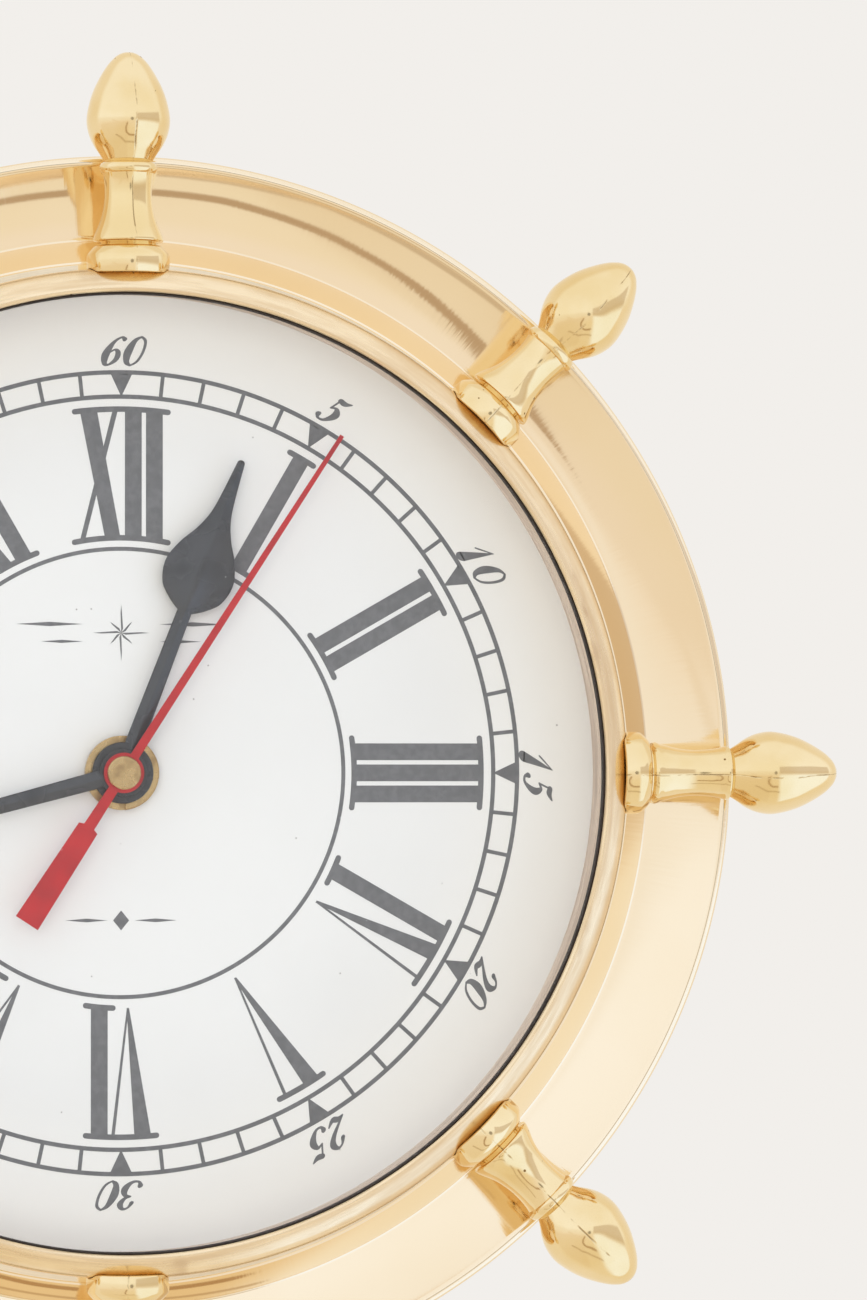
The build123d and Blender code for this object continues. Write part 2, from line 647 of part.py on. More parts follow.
with BuildPart() as set_knob:
    disc(1.4, 3.3, 4.2, 1.0, at=SET_AT)
    for index in range(18):
        disc(1.4, 3.3, 0.3, at=polar(4.3, 20 * index, SET_AT), mode=Mode.SUBTRACT)
    disc(1.4, 1.6, 1.5, at=SET_AT)
save(set_knob.part, "set_knob")


# ---------------------------------------------------------------- hands
def hand_plane(height, angle):
    """The plane of a hand at that height, with local y along the hand, clockwise from twelve."""
    turn = radians(angle)
    return Plane((0, -height, 0), (cos(turn), 0, -sin(turn)), (0, -1, 0))


def spade_hand(height, thickness, angle, length, hub_r, bore, stem, leaf, leaf_half):
    """Adds a hand pressed from sheet: hub, stem, leaf-shaped bulb from leaf to the point, and a ridge."""
    scale = (length - leaf) / 26.0
    with BuildSketch(hand_plane(height, angle)) as outline:
        Circle(hub_r)
        with BuildLine():
            side = Line((stem, 0), (stem * 0.8, leaf))
            bulb = Spline(
                side @ 1,
                (leaf_half, leaf + 6.8 * scale),
                (0.52 * leaf_half, leaf + 13.4 * scale),
                (0.24 * leaf_half, leaf + 18.0 * scale),
                (0.35, length - 0.35),
                tangents=[(1, 0.25), (-0.12, 1)],
            )
            tip = ThreePointArc(bulb @ 1, (0, length), (-0.35, length - 0.35))
            mirror(bulb, about=Plane.YZ)
            mirror(side, about=Plane.YZ)
            Line((stem, 0), (-stem, 0))
        make_face()
        Circle(bore, mode=Mode.SUBTRACT)
    extrude(outline.sketch, amount=thickness)
    with BuildSketch(hand_plane(height + thickness, angle)) as ridge:
        with BuildLine():
            Polyline((-0.45, hub_r), (0.45, hub_r), (0.16, length - 1.5), (-0.16, length - 1.5), close=True)
        make_face()
    extrude(ridge.sketch, amount=0.12, taper=40)


with BuildPart() as hour_hand:
    spade_hand(HOUR_HAND_H, HAND_T, HOUR_ANGLE, HOUR_LENGTH, 4.95, HOUR_TUBE_R, 1.5, 27.8, 5.85)
save(hour_hand.part, "hour_hand")

with BuildPart() as minute_hand:
    spade_hand(MINUTE_HAND_H, HAND_T, MINUTE_ANGLE, MINUTE_LENGTH, 3.9, MINUTE_TUBE_R, 1.45, 32.0, 5.0)
save(minute_hand.part, "minute_hand")

with BuildPart() as second_hand:
    with BuildSketch(hand_plane(SECOND_HAND_H, SECOND_ANGLE)):
        Circle(3.25)
        with BuildLine():
            Polyline(
                (0.75, 0),
                (0.35, SECOND_LENGTH),
                (-0.35, SECOND_LENGTH),
                (-0.75, 0),
                (-0.95, -10.3),
                (-1.75, -10.6),
                (-2.1, -28.7),
                (2.1, -28.7),
                (1.75, -10.6),
                (0.95, -10.3),
                close=True,
            )
        make_face()
        Circle(PIN_R, mode=Mode.SUBTRACT)
    extrude(amount=SECOND_HAND_T)
save(second_hand.part, "second_hand")

with BuildPart() as second_cap:
    cap_start = SECOND_HAND_H + SECOND_HAND_T
    disc(cap_start, cap_start + 0.8, 2.7)
    fillet(second_cap.faces().sort_by(Axis.Y)[0].edges(), 0.3)
save(second_cap.part, "second_hand_cap")
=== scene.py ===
import json
from math import asin, atan2, cos, degrees, pi, radians, sin, sqrt, tan

import bmesh
import bpy
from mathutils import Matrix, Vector


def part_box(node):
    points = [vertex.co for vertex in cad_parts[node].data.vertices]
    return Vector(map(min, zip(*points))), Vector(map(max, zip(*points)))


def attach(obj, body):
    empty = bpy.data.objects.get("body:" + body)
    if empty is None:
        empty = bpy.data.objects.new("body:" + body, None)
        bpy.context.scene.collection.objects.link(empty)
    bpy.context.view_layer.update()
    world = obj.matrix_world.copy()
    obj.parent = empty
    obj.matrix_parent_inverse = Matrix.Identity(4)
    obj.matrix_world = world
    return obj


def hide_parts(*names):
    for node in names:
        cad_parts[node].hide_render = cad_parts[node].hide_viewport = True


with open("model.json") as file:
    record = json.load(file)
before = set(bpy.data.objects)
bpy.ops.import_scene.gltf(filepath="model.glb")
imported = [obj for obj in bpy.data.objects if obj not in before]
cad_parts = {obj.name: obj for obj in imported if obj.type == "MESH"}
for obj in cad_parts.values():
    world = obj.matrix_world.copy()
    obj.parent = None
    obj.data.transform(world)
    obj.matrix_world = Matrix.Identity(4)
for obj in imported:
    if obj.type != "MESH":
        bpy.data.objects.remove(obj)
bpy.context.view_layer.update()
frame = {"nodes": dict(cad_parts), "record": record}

MM = 0.001
nodes = frame["nodes"]

# ---------------------------------------------------------------- places, from the frame
DIAL_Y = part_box("dial_plate")[0].y
HUB_TOP_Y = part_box("second_hand_cap")[0].y

HOUR_ANGLE, MINUTE_ANGLE, SECOND_ANGLE = 21.0, 255.0, 33.0


# ---------------------------------------------------------------- materials
class Shader:
    """A material's node tree, with short calls for the nodes that the finishes below share."""

    def __init__(self, name):
        self.material = bpy.data.materials.new(name)
        self.material.use_nodes = True
        self.tree = self.material.node_tree
        self.tree.nodes.clear()
        self.output = self.tree.nodes.new("ShaderNodeOutputMaterial")
        self.place = None

    def add(self, kind, settings=None, **inputs):
        node = self.tree.nodes.new(kind)
        for key, value in (settings or {}).items():
            setattr(node, key, value)
        for key, value in inputs.items():
            self.feed(node.inputs[key.replace("_", " ")], value)
        return node

    def feed(self, socket, value):
        if isinstance(value, bpy.types.NodeSocket):
            self.tree.links.new(value, socket)
        elif isinstance(value, bpy.types.Node):
            self.tree.links.new(value.outputs[0], socket)
        else:
            socket.default_value = value

    def math(self, operation, first, second=0.0, clamp=False):
        node = self.add("ShaderNodeMath", {"operation": operation, "use_clamp": clamp})
        self.feed(node.inputs[0], first)
        self.feed(node.inputs[1], second)
        return node.outputs[0]

    def coords(self):
        """Object coordinates, which are the frame's metres."""
        if self.place is None:
            self.place = self.add("ShaderNodeTexCoord").outputs["Object"]
        return self.place

    def ring_coords(self, along, around):
        """Coordinates that change by along per metre of the section and by around per turn, with no seam."""
        x, y, z = self.add("ShaderNodeSeparateXYZ", Vector=self.coords()).outputs
        radius = self.math("SQRT", self.math("ADD", self.math("MULTIPLY", x, x), self.math("MULTIPLY", z, z)))
        joined = self.add("ShaderNodeCombineXYZ")
        share = self.math("DIVIDE", around / (2 * pi), radius)
        self.feed(joined.inputs[0], self.math("MULTIPLY", x, share))
        self.feed(joined.inputs[1], self.math("MULTIPLY", z, share))
        self.feed(joined.inputs[2], self.math("MULTIPLY", self.math("SUBTRACT", radius, y), along))
        return joined.outputs[0]

    def noise(self, scale, detail=3.0, rough=0.5, vector=None):
        vector = self.coords() if vector is None else vector
        node = self.add("ShaderNodeTexNoise", Vector=vector, Scale=scale, Detail=detail, Roughness=rough)
        return node.outputs[0]

    def cells(self, scale, feature="F1", randomness=1.0, output="Distance"):
        node = self.add("ShaderNodeTexVoronoi", {"feature": feature}, Vector=self.coords(), Scale=scale)
        node.inputs["Randomness"].default_value = randomness
        return node.outputs[output]

    def span(self, value, low, high, to_low=0.0, to_high=1.0):
        """value from low to high, carried smoothly to to_low and to_high."""
        node = self.add("ShaderNodeMapRange", {"interpolation_type": "SMOOTHSTEP"})
        self.feed(node.inputs["Value"], value)
        node.inputs["From Min"].default_value = low
        node.inputs["From Max"].default_value = high
        node.inputs["To Min"].default_value = to_low
        node.inputs["To Max"].default_value = to_high
        return node.outputs["Result"]

    def mix(self, factor, first, second):
        node = self.add("ShaderNodeMix", {"data_type": "RGBA"})
        self.feed(node.inputs["Factor"], factor)
        colours = [s for s in node.inputs if s.type == "RGBA"]
        for socket, value in zip(colours, (first, second)):
            self.feed(socket, value if not isinstance(value, tuple) else (*value, 1.0))
        return [s for s in node.outputs if s.type == "RGBA"][0]

    def specks(self, scale, size, share):
        """1 inside small round spots, one in share of the cells, each size of a cell across."""
        spot = self.span(self.cells(scale), size, size * 0.6)
        pick = self.add("ShaderNodeTexVoronoi", Vector=self.coords(), Scale=scale)
        chance = self.add("ShaderNodeSeparateXYZ", Vector=pick.outputs["Color"]).outputs[0]
        return self.math("MULTIPLY", spot, self.math("GREATER_THAN", chance, 1.0 - share))

    def bump(self, height, depth, below=None):
        node = self.add("ShaderNodeBump", Height=height, Distance=depth)
        node.inputs["Strength"].default_value = 1.0
        if below is not None:
            self.feed(node.inputs["Normal"], below)
        return node.outputs[0]

    def surface(self, color, rough, normal=None, **sockets):
        shader = self.add("ShaderNodeBsdfPrincipled")
        self.feed(shader.inputs["Base Color"], color if not isinstance(color, tuple) else (*color, 1.0))
        self.feed(shader.inputs["Roughness"], rough)
        if normal is not None:
            self.feed(shader.inputs["Normal"], normal)
        for key, value in sockets.items():
            self.feed(shader.inputs[key.replace("_", " ")], value)
        self.feed(self.output.inputs["Surface"], shader)
        return self.material


def rim_brass():
    """The wheel rim and bezel: pale polished brass, with faint rings from spinning and radial buffing marks."""
    s = Shader("rim_brass")
    cloud = s.noise(26.0, 4.0)
    color = s.mix(s.span(cloud, 0.35, 0.7), (0.930, 0.770, 0.535), (0.915, 0.745, 0.500))
    pits = s.specks(300.0, 0.09, 0.02)
    color = s.mix(pits, color, (0.25, 0.15, 0.07))
    rough = s.span(cloud, 0.3, 0.75, 0.05, 0.09)
    rough = s.math("ADD", rough, s.math("MULTIPLY", pits, 0.4))
    rings = s.noise(1.0, 3.0, 0.6, s.ring_coords(1500.0, 60.0))
    buffing = s.noise(1.0, 2.0, 0.6, s.ring_coords(90.0, 900.0))
    normal = s.bump(rings, 0.0000012)
    normal = s.bump(buffing, 0.000005, normal)
    normal = s.bump(s.noise(45.0, 2.0), 0.00002, normal)
    normal = s.bump(s.math("MULTIPLY", pits, -1.0), 0.00006, normal)
    return s.surface(color, rough, normal, Metallic=1.0)


def bezel_brass():
    """The bezel's roll: browner and less polished than the rim, with streaks round it."""
    s = Shader("bezel_brass")
    streaks = s.noise(1.0, 5.0, 0.65, s.ring_coords(1300.0, 26.0))
    patches = s.noise(1.0, 3.0, 0.5, s.ring_coords(300.0, 40.0))
    color = s.mix(s.span(streaks, 0.35, 0.68), (0.93, 0.735, 0.465), (0.80, 0.585, 0.335))
    color = s.mix(s.span(patches, 0.60, 0.74), color, (0.70, 0.50, 0.29))
    pits = s.specks(420.0, 0.10, 0.03)
    color = s.mix(pits, color, (0.25, 0.15, 0.07))
    rough = s.span(streaks, 0.3, 0.7, 0.22, 0.34)
    normal = s.bump(streaks, 0.000008)
    normal = s.bump(s.noise(60.0, 2.0), 0.00003, normal)
    return s.surface(color, rough, normal, Metallic=1.0)


def handle_brass():
    """The cast handles: deeper gold, waxy polish, pits, and a broken dark seam along one side. The mesh's map
    turn holds the angle round the handle, in turns from the front, and the distance out along it, in metres."""
    s = Shader("handle_brass")
    cloud = s.noise(95.0, 4.0)
    color = s.mix(s.span(cloud, 0.35, 0.7), (0.905, 0.715, 0.405), (0.86, 0.645, 0.315))
    turn = s.add("ShaderNodeUVMap", {"uv_map": "turn"})
    angle, out = s.add("ShaderNodeSeparateXYZ", Vector=turn).outputs[:2]
    wander = s.math("MULTIPLY", s.math("SUBTRACT", s.noise(60.0, 3.0), 0.5), 0.05)
    beside = s.math("ABSOLUTE", s.math("SUBTRACT", s.math("ADD", angle, wander), 0.015))
    broken = s.span(s.noise(210.0, 3.0, 0.7), 0.44, 0.62)
    seam = s.math("MULTIPLY", s.span(beside, 0.0045, 0.0015, 0.0, 0.75), broken)
    pits = s.math("MAXIMUM", s.specks(520.0, 0.13, 0.03), s.specks(900.0, 0.14, 0.03))
    dark = s.math("MAXIMUM", seam, pits)
    color = s.mix(dark, color, (0.30, 0.17, 0.06))
    rough = s.math("ADD", s.span(cloud, 0.3, 0.75, 0.07, 0.12), s.math("MULTIPLY", dark, 0.35))
    normal = s.bump(s.noise(260.0, 3.0), 0.000012)
    normal = s.bump(s.noise(70.0, 2.0), 0.00006, normal)
    normal = s.bump(s.math("MULTIPLY", dark, -1.0), 0.00008, normal)
    return s.surface(color, rough, normal, Metallic=1.0)


def turned_brass():
    """Machined brass, left from the tool: fine rings, a satin surface and dull spots."""
    s = Shader("turned_brass")
    rings = s.noise(1.0, 4.0, 0.7, s.ring_coords(9000.0, 30.0))
    dull = s.noise(420.0, 4.0)
    color = s.mix(s.span(dull, 0.4, 0.7), (0.66, 0.46, 0.22), (0.46, 0.30, 0.14))
    rough = s.span(dull, 0.3, 0.7, 0.20, 0.38)
    return s.surface(color, rough, s.bump(rings, 0.00002), Metallic=1.0)


def cover_brass():
    """The back cover: satin lacquered brass, brushed one way."""
    s = Shader("cover_brass")
    stretch = s.add("ShaderNodeVectorMath", {"operation": "MULTIPLY"})
    s.feed(stretch.inputs[0], s.coords())
    stretch.inputs[1].default_value = (60.0, 1.0, 5200.0)
    brushed = s.noise(1.0, 4.0, 0.65, stretch.outputs[0])
    stain = s.noise(24.0, 5.0, 0.6)
    color = s.mix(s.span(stain, 0.38, 0.72), (0.76, 0.58, 0.32), (0.60, 0.43, 0.22))
    rough = s.span(s.math("ADD", brushed, stain), 0.7, 1.3, 0.24, 0.40)
    return s.surface(color, rough, s.bump(brushed, 0.000012), Metallic=1.0)


def window_glass():
    """The clock's glass, which lets the lamps' light through to the dial."""
    s = Shader("window_glass")
    ripple = s.bump(s.noise(16.0, 1.0), 0.000004)
    body = s.add("ShaderNodeBsdfPrincipled", Base_Color=(0.985, 0.992, 0.988, 1.0), Roughness=0.0, Normal=ripple)
    body.inputs["Transmission Weight"].default_value = 1.0
    body.inputs["IOR"].default_value = 1.5
    clear = s.add("ShaderNodeBsdfTransparent", Color=(0.98, 0.985, 0.98, 1.0))
    mixed = s.add("ShaderNodeMixShader")
    path = s.add("ShaderNodeLightPath")
    s.feed(mixed.inputs[0], s.math("MAXIMUM", path.outputs["Is Shadow Ray"], path.outputs["Is Diffuse Ray"]))
    s.feed(mixed.inputs[1], body)
    s.feed(mixed.inputs[2], clear)
    s.feed(s.output.inputs["Surface"], mixed)
    return s.material


def dial_paint():
    """The dial's white enamel, with faint clouding and a few specks of dust, and painted light: the paint turns
    paler and warmer towards its edge, to brighten the shade that the bezel casts there.
    """
    s = Shader("dial_paint")
    cloud = s.noise(30.0, 4.0)
    color = s.mix(s.span(cloud, 0.35, 0.7), (0.835, 0.820, 0.790), (0.810, 0.795, 0.765))
    x, y, z = s.add("ShaderNodeSeparateXYZ", Vector=s.coords()).outputs
    radius = s.math("SQRT", s.math("ADD", s.math("MULTIPLY", x, x), s.math("MULTIPLY", z, z)))
    # painted light: from 50 mm out to the edge the paint turns paler and warmer, to lift the shade under the bezel
    color = s.mix(s.span(radius, 0.050, 0.076), color, (0.940, 0.910, 0.850))
    dust = s.specks(420.0, 0.075, 0.07)
    color = s.mix(dust, color, (0.42, 0.39, 0.36))
    fine = s.noise(2400.0, 2.0)
    return s.surface(color, 0.42, s.bump(fine, 0.000004), Specular_IOR_Level=0.4)


def dial_ink():
    """The print's dark grey ink, a little uneven."""
    s = Shader("dial_ink")
    uneven = s.noise(900.0, 4.0)
    color = s.mix(s.span(uneven, 0.3, 0.75), (0.140, 0.139, 0.141), (0.180, 0.178, 0.180))
    pinholes = s.specks(700.0, 0.09, 0.02)
    color = s.mix(pinholes, color, (0.55, 0.55, 0.54))
    return s.surface(color, 0.5, s.bump(uneven, 0.000004))


def hand_lacquer(name, color, worn, rough):
    """Lacquered sheet: gloss, orange peel, and small chips and dust."""
    s = Shader(name)
    peel = s.noise(1500.0, 2.0)
    shade = s.noise(240.0, 4.0)
    tint = s.mix(s.span(shade, 0.35, 0.7), color, tuple(0.8 * c for c in color))
    chips = s.specks(900.0, 0.12, 0.03)
    tint = s.mix(chips, tint, worn)
    normal = s.bump(peel, 0.000002)
    return s.surface(tint, s.span(shade, 0.3, 0.7, rough, rough + 0.1), normal, Coat_Weight=0.3)


def ring_metal():
    """The spacer ring behind the glass: satin grey-brown metal, turned all round."""
    s = Shader("ring_metal")
    around = s.noise(1.0, 4.0, 0.6, s.ring_coords(4000.0, 500.0))
    stain = s.noise(1.0, 4.0, 0.6, s.ring_coords(900.0, 22.0))
    color = s.mix(s.span(stain, 0.35, 0.7), (0.86, 0.70, 0.56), (0.56, 0.43, 0.34))
    return s.surface(color, s.span(stain, 0.3, 0.7, 0.22, 0.36), s.bump(around, 0.00001), Metallic=1.0)


def moulded(name, color, rough=0.45, grain=2200.0, depth=0.000012, **sockets):
    """Moulded plastic or rubber, with a fine spark-eroded grain and a little shade."""
    s = Shader(name)
    texture = s.noise(grain, 3.0)
    shade = s.noise(90.0, 4.0)
    tint = s.mix(s.span(shade, 0.3, 0.7), color, tuple(0.86 * c for c in color))
    return s.surface(tint, s.span(shade, 0.3, 0.7, rough, rough + 0.12), s.bump(texture, depth), **sockets)


def metal(name, color, rough, grain=1400.0):
    """Plated or stamped metal, with fine grain and dull patches."""
    s = Shader(name)
    texture = s.noise(grain, 4.0)
    stain = s.noise(260.0, 4.0)
    tint = s.mix(s.span(stain, 0.35, 0.7), color, tuple(0.78 * c for c in color))
    return s.surface(tint, s.span(stain, 0.3, 0.7, rough, rough + 0.14), s.bump(texture, 0.000006), Metallic=1.0)


def battery_jacket():
    """The cell's printed sleeve: dark blue, with a pale band at its nub end."""
    s = Shader("battery_jacket")
    x = s.add("ShaderNodeSeparateXYZ", Vector=s.coords()).outputs[0]
    band = s.math("GREATER_THAN", x, 0.0125)
    metal_end = s.math("GREATER_THAN", x, 0.0236)
    scuff = s.noise(500.0, 4.0)
    color = s.mix(band, (0.035, 0.06, 0.16), (0.62, 0.46, 0.20))
    color = s.mix(metal_end, color, (0.62, 0.61, 0.58))
    color = s.mix(s.span(scuff, 0.62, 0.75), color, (0.30, 0.30, 0.32))
    return s.surface(color, s.span(scuff, 0.3, 0.7, 0.22, 0.34), s.bump(scuff, 0.000005), Metallic=0.35)


MATERIALS = {
    "polished_brass": rim_brass(),
    "bezel_brass": bezel_brass(),
    "handle_brass": handle_brass(),
    "turned_brass": turned_brass(),
    "spun_brass_back": cover_brass(),
    "window_glass": window_glass(),
    "black_rubber": moulded("black_rubber", (0.032, 0.021, 0.014), 0.6),
    "anodised_ring": ring_metal(),
    "dial_white": dial_paint(),
    "hand_black": hand_lacquer("hand_black", (0.050, 0.050, 0.052), (0.35, 0.34, 0.33), 0.22),
    "hand_red": hand_lacquer("hand_red", (0.50, 0.012, 0.015), (0.80, 0.45, 0.45), 0.3),
    "screw_steel": metal("screw_steel", (0.62, 0.60, 0.56), 0.25),
    "case_plastic": moulded("case_plastic", (0.03, 0.03, 0.033)),
    "gear_plastic": moulded("gear_plastic", (0.82, 0.80, 0.73), 0.35, Subsurface_Weight=0.1),
    "plate_plastic": moulded("plate_plastic", (0.45, 0.46, 0.48)),
    "motor_iron": metal("motor_iron", (0.50, 0.49, 0.47), 0.35),
    "magnet": metal("magnet", (0.16, 0.155, 0.15), 0.45),
    "copper_wire": metal("copper_wire", (0.72, 0.32, 0.14), 0.3, 3800.0),
    "circuit_board": moulded("circuit_board", (0.02, 0.16, 0.06), 0.3),
    "chip_resin": moulded("chip_resin", (0.015, 0.015, 0.015), 0.25),
    "contact_nickel": metal("contact_nickel", (0.75, 0.73, 0.68), 0.2),
    "battery_jacket": battery_jacket(),
    "dial_ink": dial_ink(),
}


def finish_cad_nodes():
    """Gives each CAD node the finish of its slot in the record."""
    for row in frame["record"]["subparts"]:
        body = nodes[row["node"]]
        body.data.materials.clear()
        body.data.materials.append(MATERIALS[row["material_slot"]])


# ---------------------------------------------------------------- mesh helpers
def piece(name, mesh, finish, body, stands_for=()):
    """Links a mesh as a piece that rides on a body, with its finish and the CAD nodes that it stands for."""
    thing = bpy.data.objects.new(name, mesh)
    bpy.context.scene.collection.objects.link(thing)
    mesh.materials.append(MATERIALS[finish])
    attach(thing, body)
    if stands_for:
        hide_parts(*stands_for)
    return thing


def smooth(mesh, angle=35.0):
    """Smooth shading, kept sharp where faces meet at more than angle, in degrees."""
    mesh.polygons.foreach_set("use_smooth", [True] * len(mesh.polygons))
    bm = bmesh.new()
    bm.from_mesh(mesh)
    limit = radians(angle)
    for edge in bm.edges:
        edge.smooth = edge.is_manifold and edge.calc_face_angle(0.0) < limit
    bm.to_mesh(mesh)
    bm.free()


def at_angle(angle, across, out):
    """Dial coordinates, in mm, of a point out along the direction angle clockwise from twelve, and across it."""
    a = radians(angle)
    return (out * sin(a) + across * cos(a), out * cos(a) - across * sin(a))


def arc_points(start, end, tangent, count):
    """Points along the arc that leaves start along tangent and ends at end, start left out."""
    (x0, y0), (x1, y1) = start, end
    size = sqrt(tangent[0] ** 2 + tangent[1] ** 2)
    tx, ty = tangent[0] / size, tangent[1] / size
    dx, dy = x1 - x0, y1 - y0
    side = -dx * ty + dy * tx
    if abs(side) < 1e-9:
        return [(x0 + dx * k / count, y0 + dy * k / count) for k in range(1, count + 1)]
    radius = (dx * dx + dy * dy) / (2 * side)
    cx, cy = x0 - ty * radius, y0 + tx * radius
    sweep = 2 * atan2(dx * tx + dy * ty, side)
    sweep = (pi - sweep) if radius > 0 else (-pi - sweep)
    points = []
    for k in range(1, count + 1):
        a = sweep * k / count
        vx, vy = x0 - cx, y0 - cy
        points.append((cx + vx * cos(a) - vy * sin(a), cy + vx * sin(a) + vy * cos(a)))
    return points


def turned_mesh(name, outline, count=360):
    """A mesh turned about the hands' axis from a closed outline of (radius, height) points, in mm."""
    bm = bmesh.new()
    add_turned(bm, outline, 0.0, count)
    bmesh.ops.recalc_face_normals(bm, faces=list(bm.faces))
    mesh = bpy.data.meshes.new(name)
    bm.to_mesh(mesh)
    bm.free()
    smooth(mesh, 22.0)
    return mesh


# ---------------------------------------------------------------- the dial's print
class Print:
    """Flat shapes in dial coordinates, raised from the dial by the ink's thickness."""

    INK = 0.03
    STEP = 0.0015  # how much higher each of eight shapes in a row is than the last, so overlaps don't share a face

    def __init__(self):
        self.shapes = []

    def shape(self, points):
        self.shapes.append(list(points))

    def ring(self, inner, outer, count=360):
        for index in range(count):
            a, b = 360.0 * index / count, 360.0 * (index + 1) / count
            self.shape([at_angle(a, 0, inner), at_angle(a, 0, outer), at_angle(b, 0, outer), at_angle(b, 0, inner)])

    def arc(self, angle, start, end, radius, thick):
        """A band along a circle about the dial's centre from across = start to end, with round ends."""
        first, last = degrees(asin(start / radius)), degrees(asin(end / radius))
        steps = 24
        half = thick / 2
        rim = []
        for k in range(steps + 1):
            rim.append(at_angle(angle + first + (last - first) * k / steps, 0, radius + half))
        for k in range(1, 7):
            t = pi / 2 - pi * k / 7
            rim.append(at_angle(angle + last, half * cos(t), radius + half * sin(t)))
        for k in range(steps, -1, -1):
            rim.append(at_angle(angle + first + (last - first) * k / steps, 0, radius - half))
        for k in range(1, 7):
            t = -pi / 2 - pi * k / 7
            rim.append(at_angle(angle + first, half * cos(t), radius + half * sin(t)))
        self.shape(rim)

    def stroke(self, points, place):
        """A pen stroke through (x, y, width) points, smooth between them, carried on to the dial by place."""
        path = []
        count = len(points)
        for i in range(count - 1):
            p = [points[max(0, min(count - 1, i + k))] for k in (-1, 0, 1, 2)]
            for step in range(8 if count > 2 else 2):
                t = step / (8 if count > 2 else 2)
                path.append(tuple(catmull(p[0][k], p[1][k], p[2][k], p[3][k], t) for k in range(3)))
        path.append(points[-1])
        left, right = [], []
        for i, (x, y, wide) in enumerate(path):
            before, after = path[max(0, i - 1)], path[min(len(path) - 1, i + 1)]
            dx, dy = after[0] - before[0], after[1] - before[1]
            size = sqrt(dx * dx + dy * dy) or 1.0
            nx, ny = -dy / size * wide / 2, dx / size * wide / 2
            left.append((x + nx, y + ny))
            right.append((x - nx, y - ny))
        for a, b, c, d in zip(left, left[1:], right[1:], right):
            self.shape([place(*a), place(*b), place(*c), place(*d)])
        for (x, y, wide), ahead in ((path[0], path[1]), (path[-1], path[-2])):
            if wide > 0.03:
                self.shape([place(x + wide / 2 * cos(pi * k / 8), y + wide / 2 * sin(pi * k / 8)) for k in range(16)])

    def mesh(self, name):
        bm = bmesh.new()
        for index, points in enumerate(self.shapes):
            y = DIAL_Y - (self.INK + self.STEP * (index % 8)) * MM
            verts = [bm.verts.new((x * MM, y, z * MM)) for x, z in points]
            face = bm.faces.new(verts)
            face.normal_update()
            if face.normal.y > 0:
                face.normal_flip()
        top = list(bm.faces)
        grown = bmesh.ops.extrude_face_region(bm, geom=top)
        low = [v for v in grown["geom"] if isinstance(v, bmesh.types.BMVert)]
        for vert in low:
            vert.co.y += self.INK * MM * 0.9
        bmesh.ops.recalc_face_normals(bm, faces=list(bm.faces))
        mesh = bpy.data.meshes.new(name)
        bm.to_mesh(mesh)
        bm.free()
        return mesh


def catmull(a, b, c, d, t):
    return 0.5 * (2 * b + (c - a) * t + (2 * a - 5 * b + 4 * c - d) * t * t + (3 * b - a - 3 * c + d) * t**3)


# sizes of the print, in mm
TRACK_OUTER = (64.35, 65.05)
TRACK_INNER = (60.42, 61.12)
INNER_CIRCLE = (35.85, 36.50)
TICK = 0.62
MARK_BASE = 3.5
NUMERAL_OUT, NUMERAL_IN = 58.75, 37.95
SERIF = 0.9
BAR = 2.72
GAP = 0.70
OVERHANG = 0.85
FIGURE_BASE, FIGURE_HEIGHT = 65.75, 4.75


def numeral_glyphs(text):
    """Each letter's strokes as (across at the inner end, across at the outer end, width at each), and its span."""
    strokes, across, inner_serifs = [], 0.0, []
    for index, letter in enumerate(text):
        if letter == "I":
            strokes.append((across, across + BAR, across, across + BAR))
            inner_serifs.append((across, across + BAR))
            across += BAR
        elif letter == "V":
            tip = across + 3.8
            strokes.append((tip - 0.2, tip + 0.2, across, across + BAR))
            strokes.append((tip - 0.15, tip + 0.15, across + 5.95, across + 6.5))
            across += 6.5
        else:
            strokes.append((across + 4.1, across + 6.6, across, across + 2.75))
            strokes.append((across, across + 0.85, across + 5.35, across + 6.2))
            inner_serifs.append((across, across + 6.75))
            across += 6.75
        if index < len(text) - 1:
            across += GAP * (1.0 if letter == "I" and text[index + 1] == "I" else 0.8)
    return strokes, across, inner_serifs


def numeral(ink, text, angle):
    strokes, width, inner_serifs = numeral_glyphs(text)
    middle = width / 2

    def depth(across, radius):
        return sqrt(radius * radius - across * across)

    for inner_a, inner_b, outer_a, outer_b in strokes:
        a, b, c, d = (value - middle for value in (inner_a, inner_b, outer_b, outer_a))
        ink.shape([
            at_angle(angle, a, depth(a, NUMERAL_IN)),
            at_angle(angle, b, depth(b, NUMERAL_IN)),
            at_angle(angle, c, depth(c, NUMERAL_OUT)),
            at_angle(angle, d, depth(d, NUMERAL_OUT)),
        ])
    ink.arc(angle, -middle - OVERHANG, middle + OVERHANG, NUMERAL_OUT, SERIF)
    if inner_serifs:
        start, end = inner_serifs[0][0] - middle, inner_serifs[-1][1] - middle
        ink.arc(angle, start - OVERHANG, end + OVERHANG, NUMERAL_IN, SERIF)


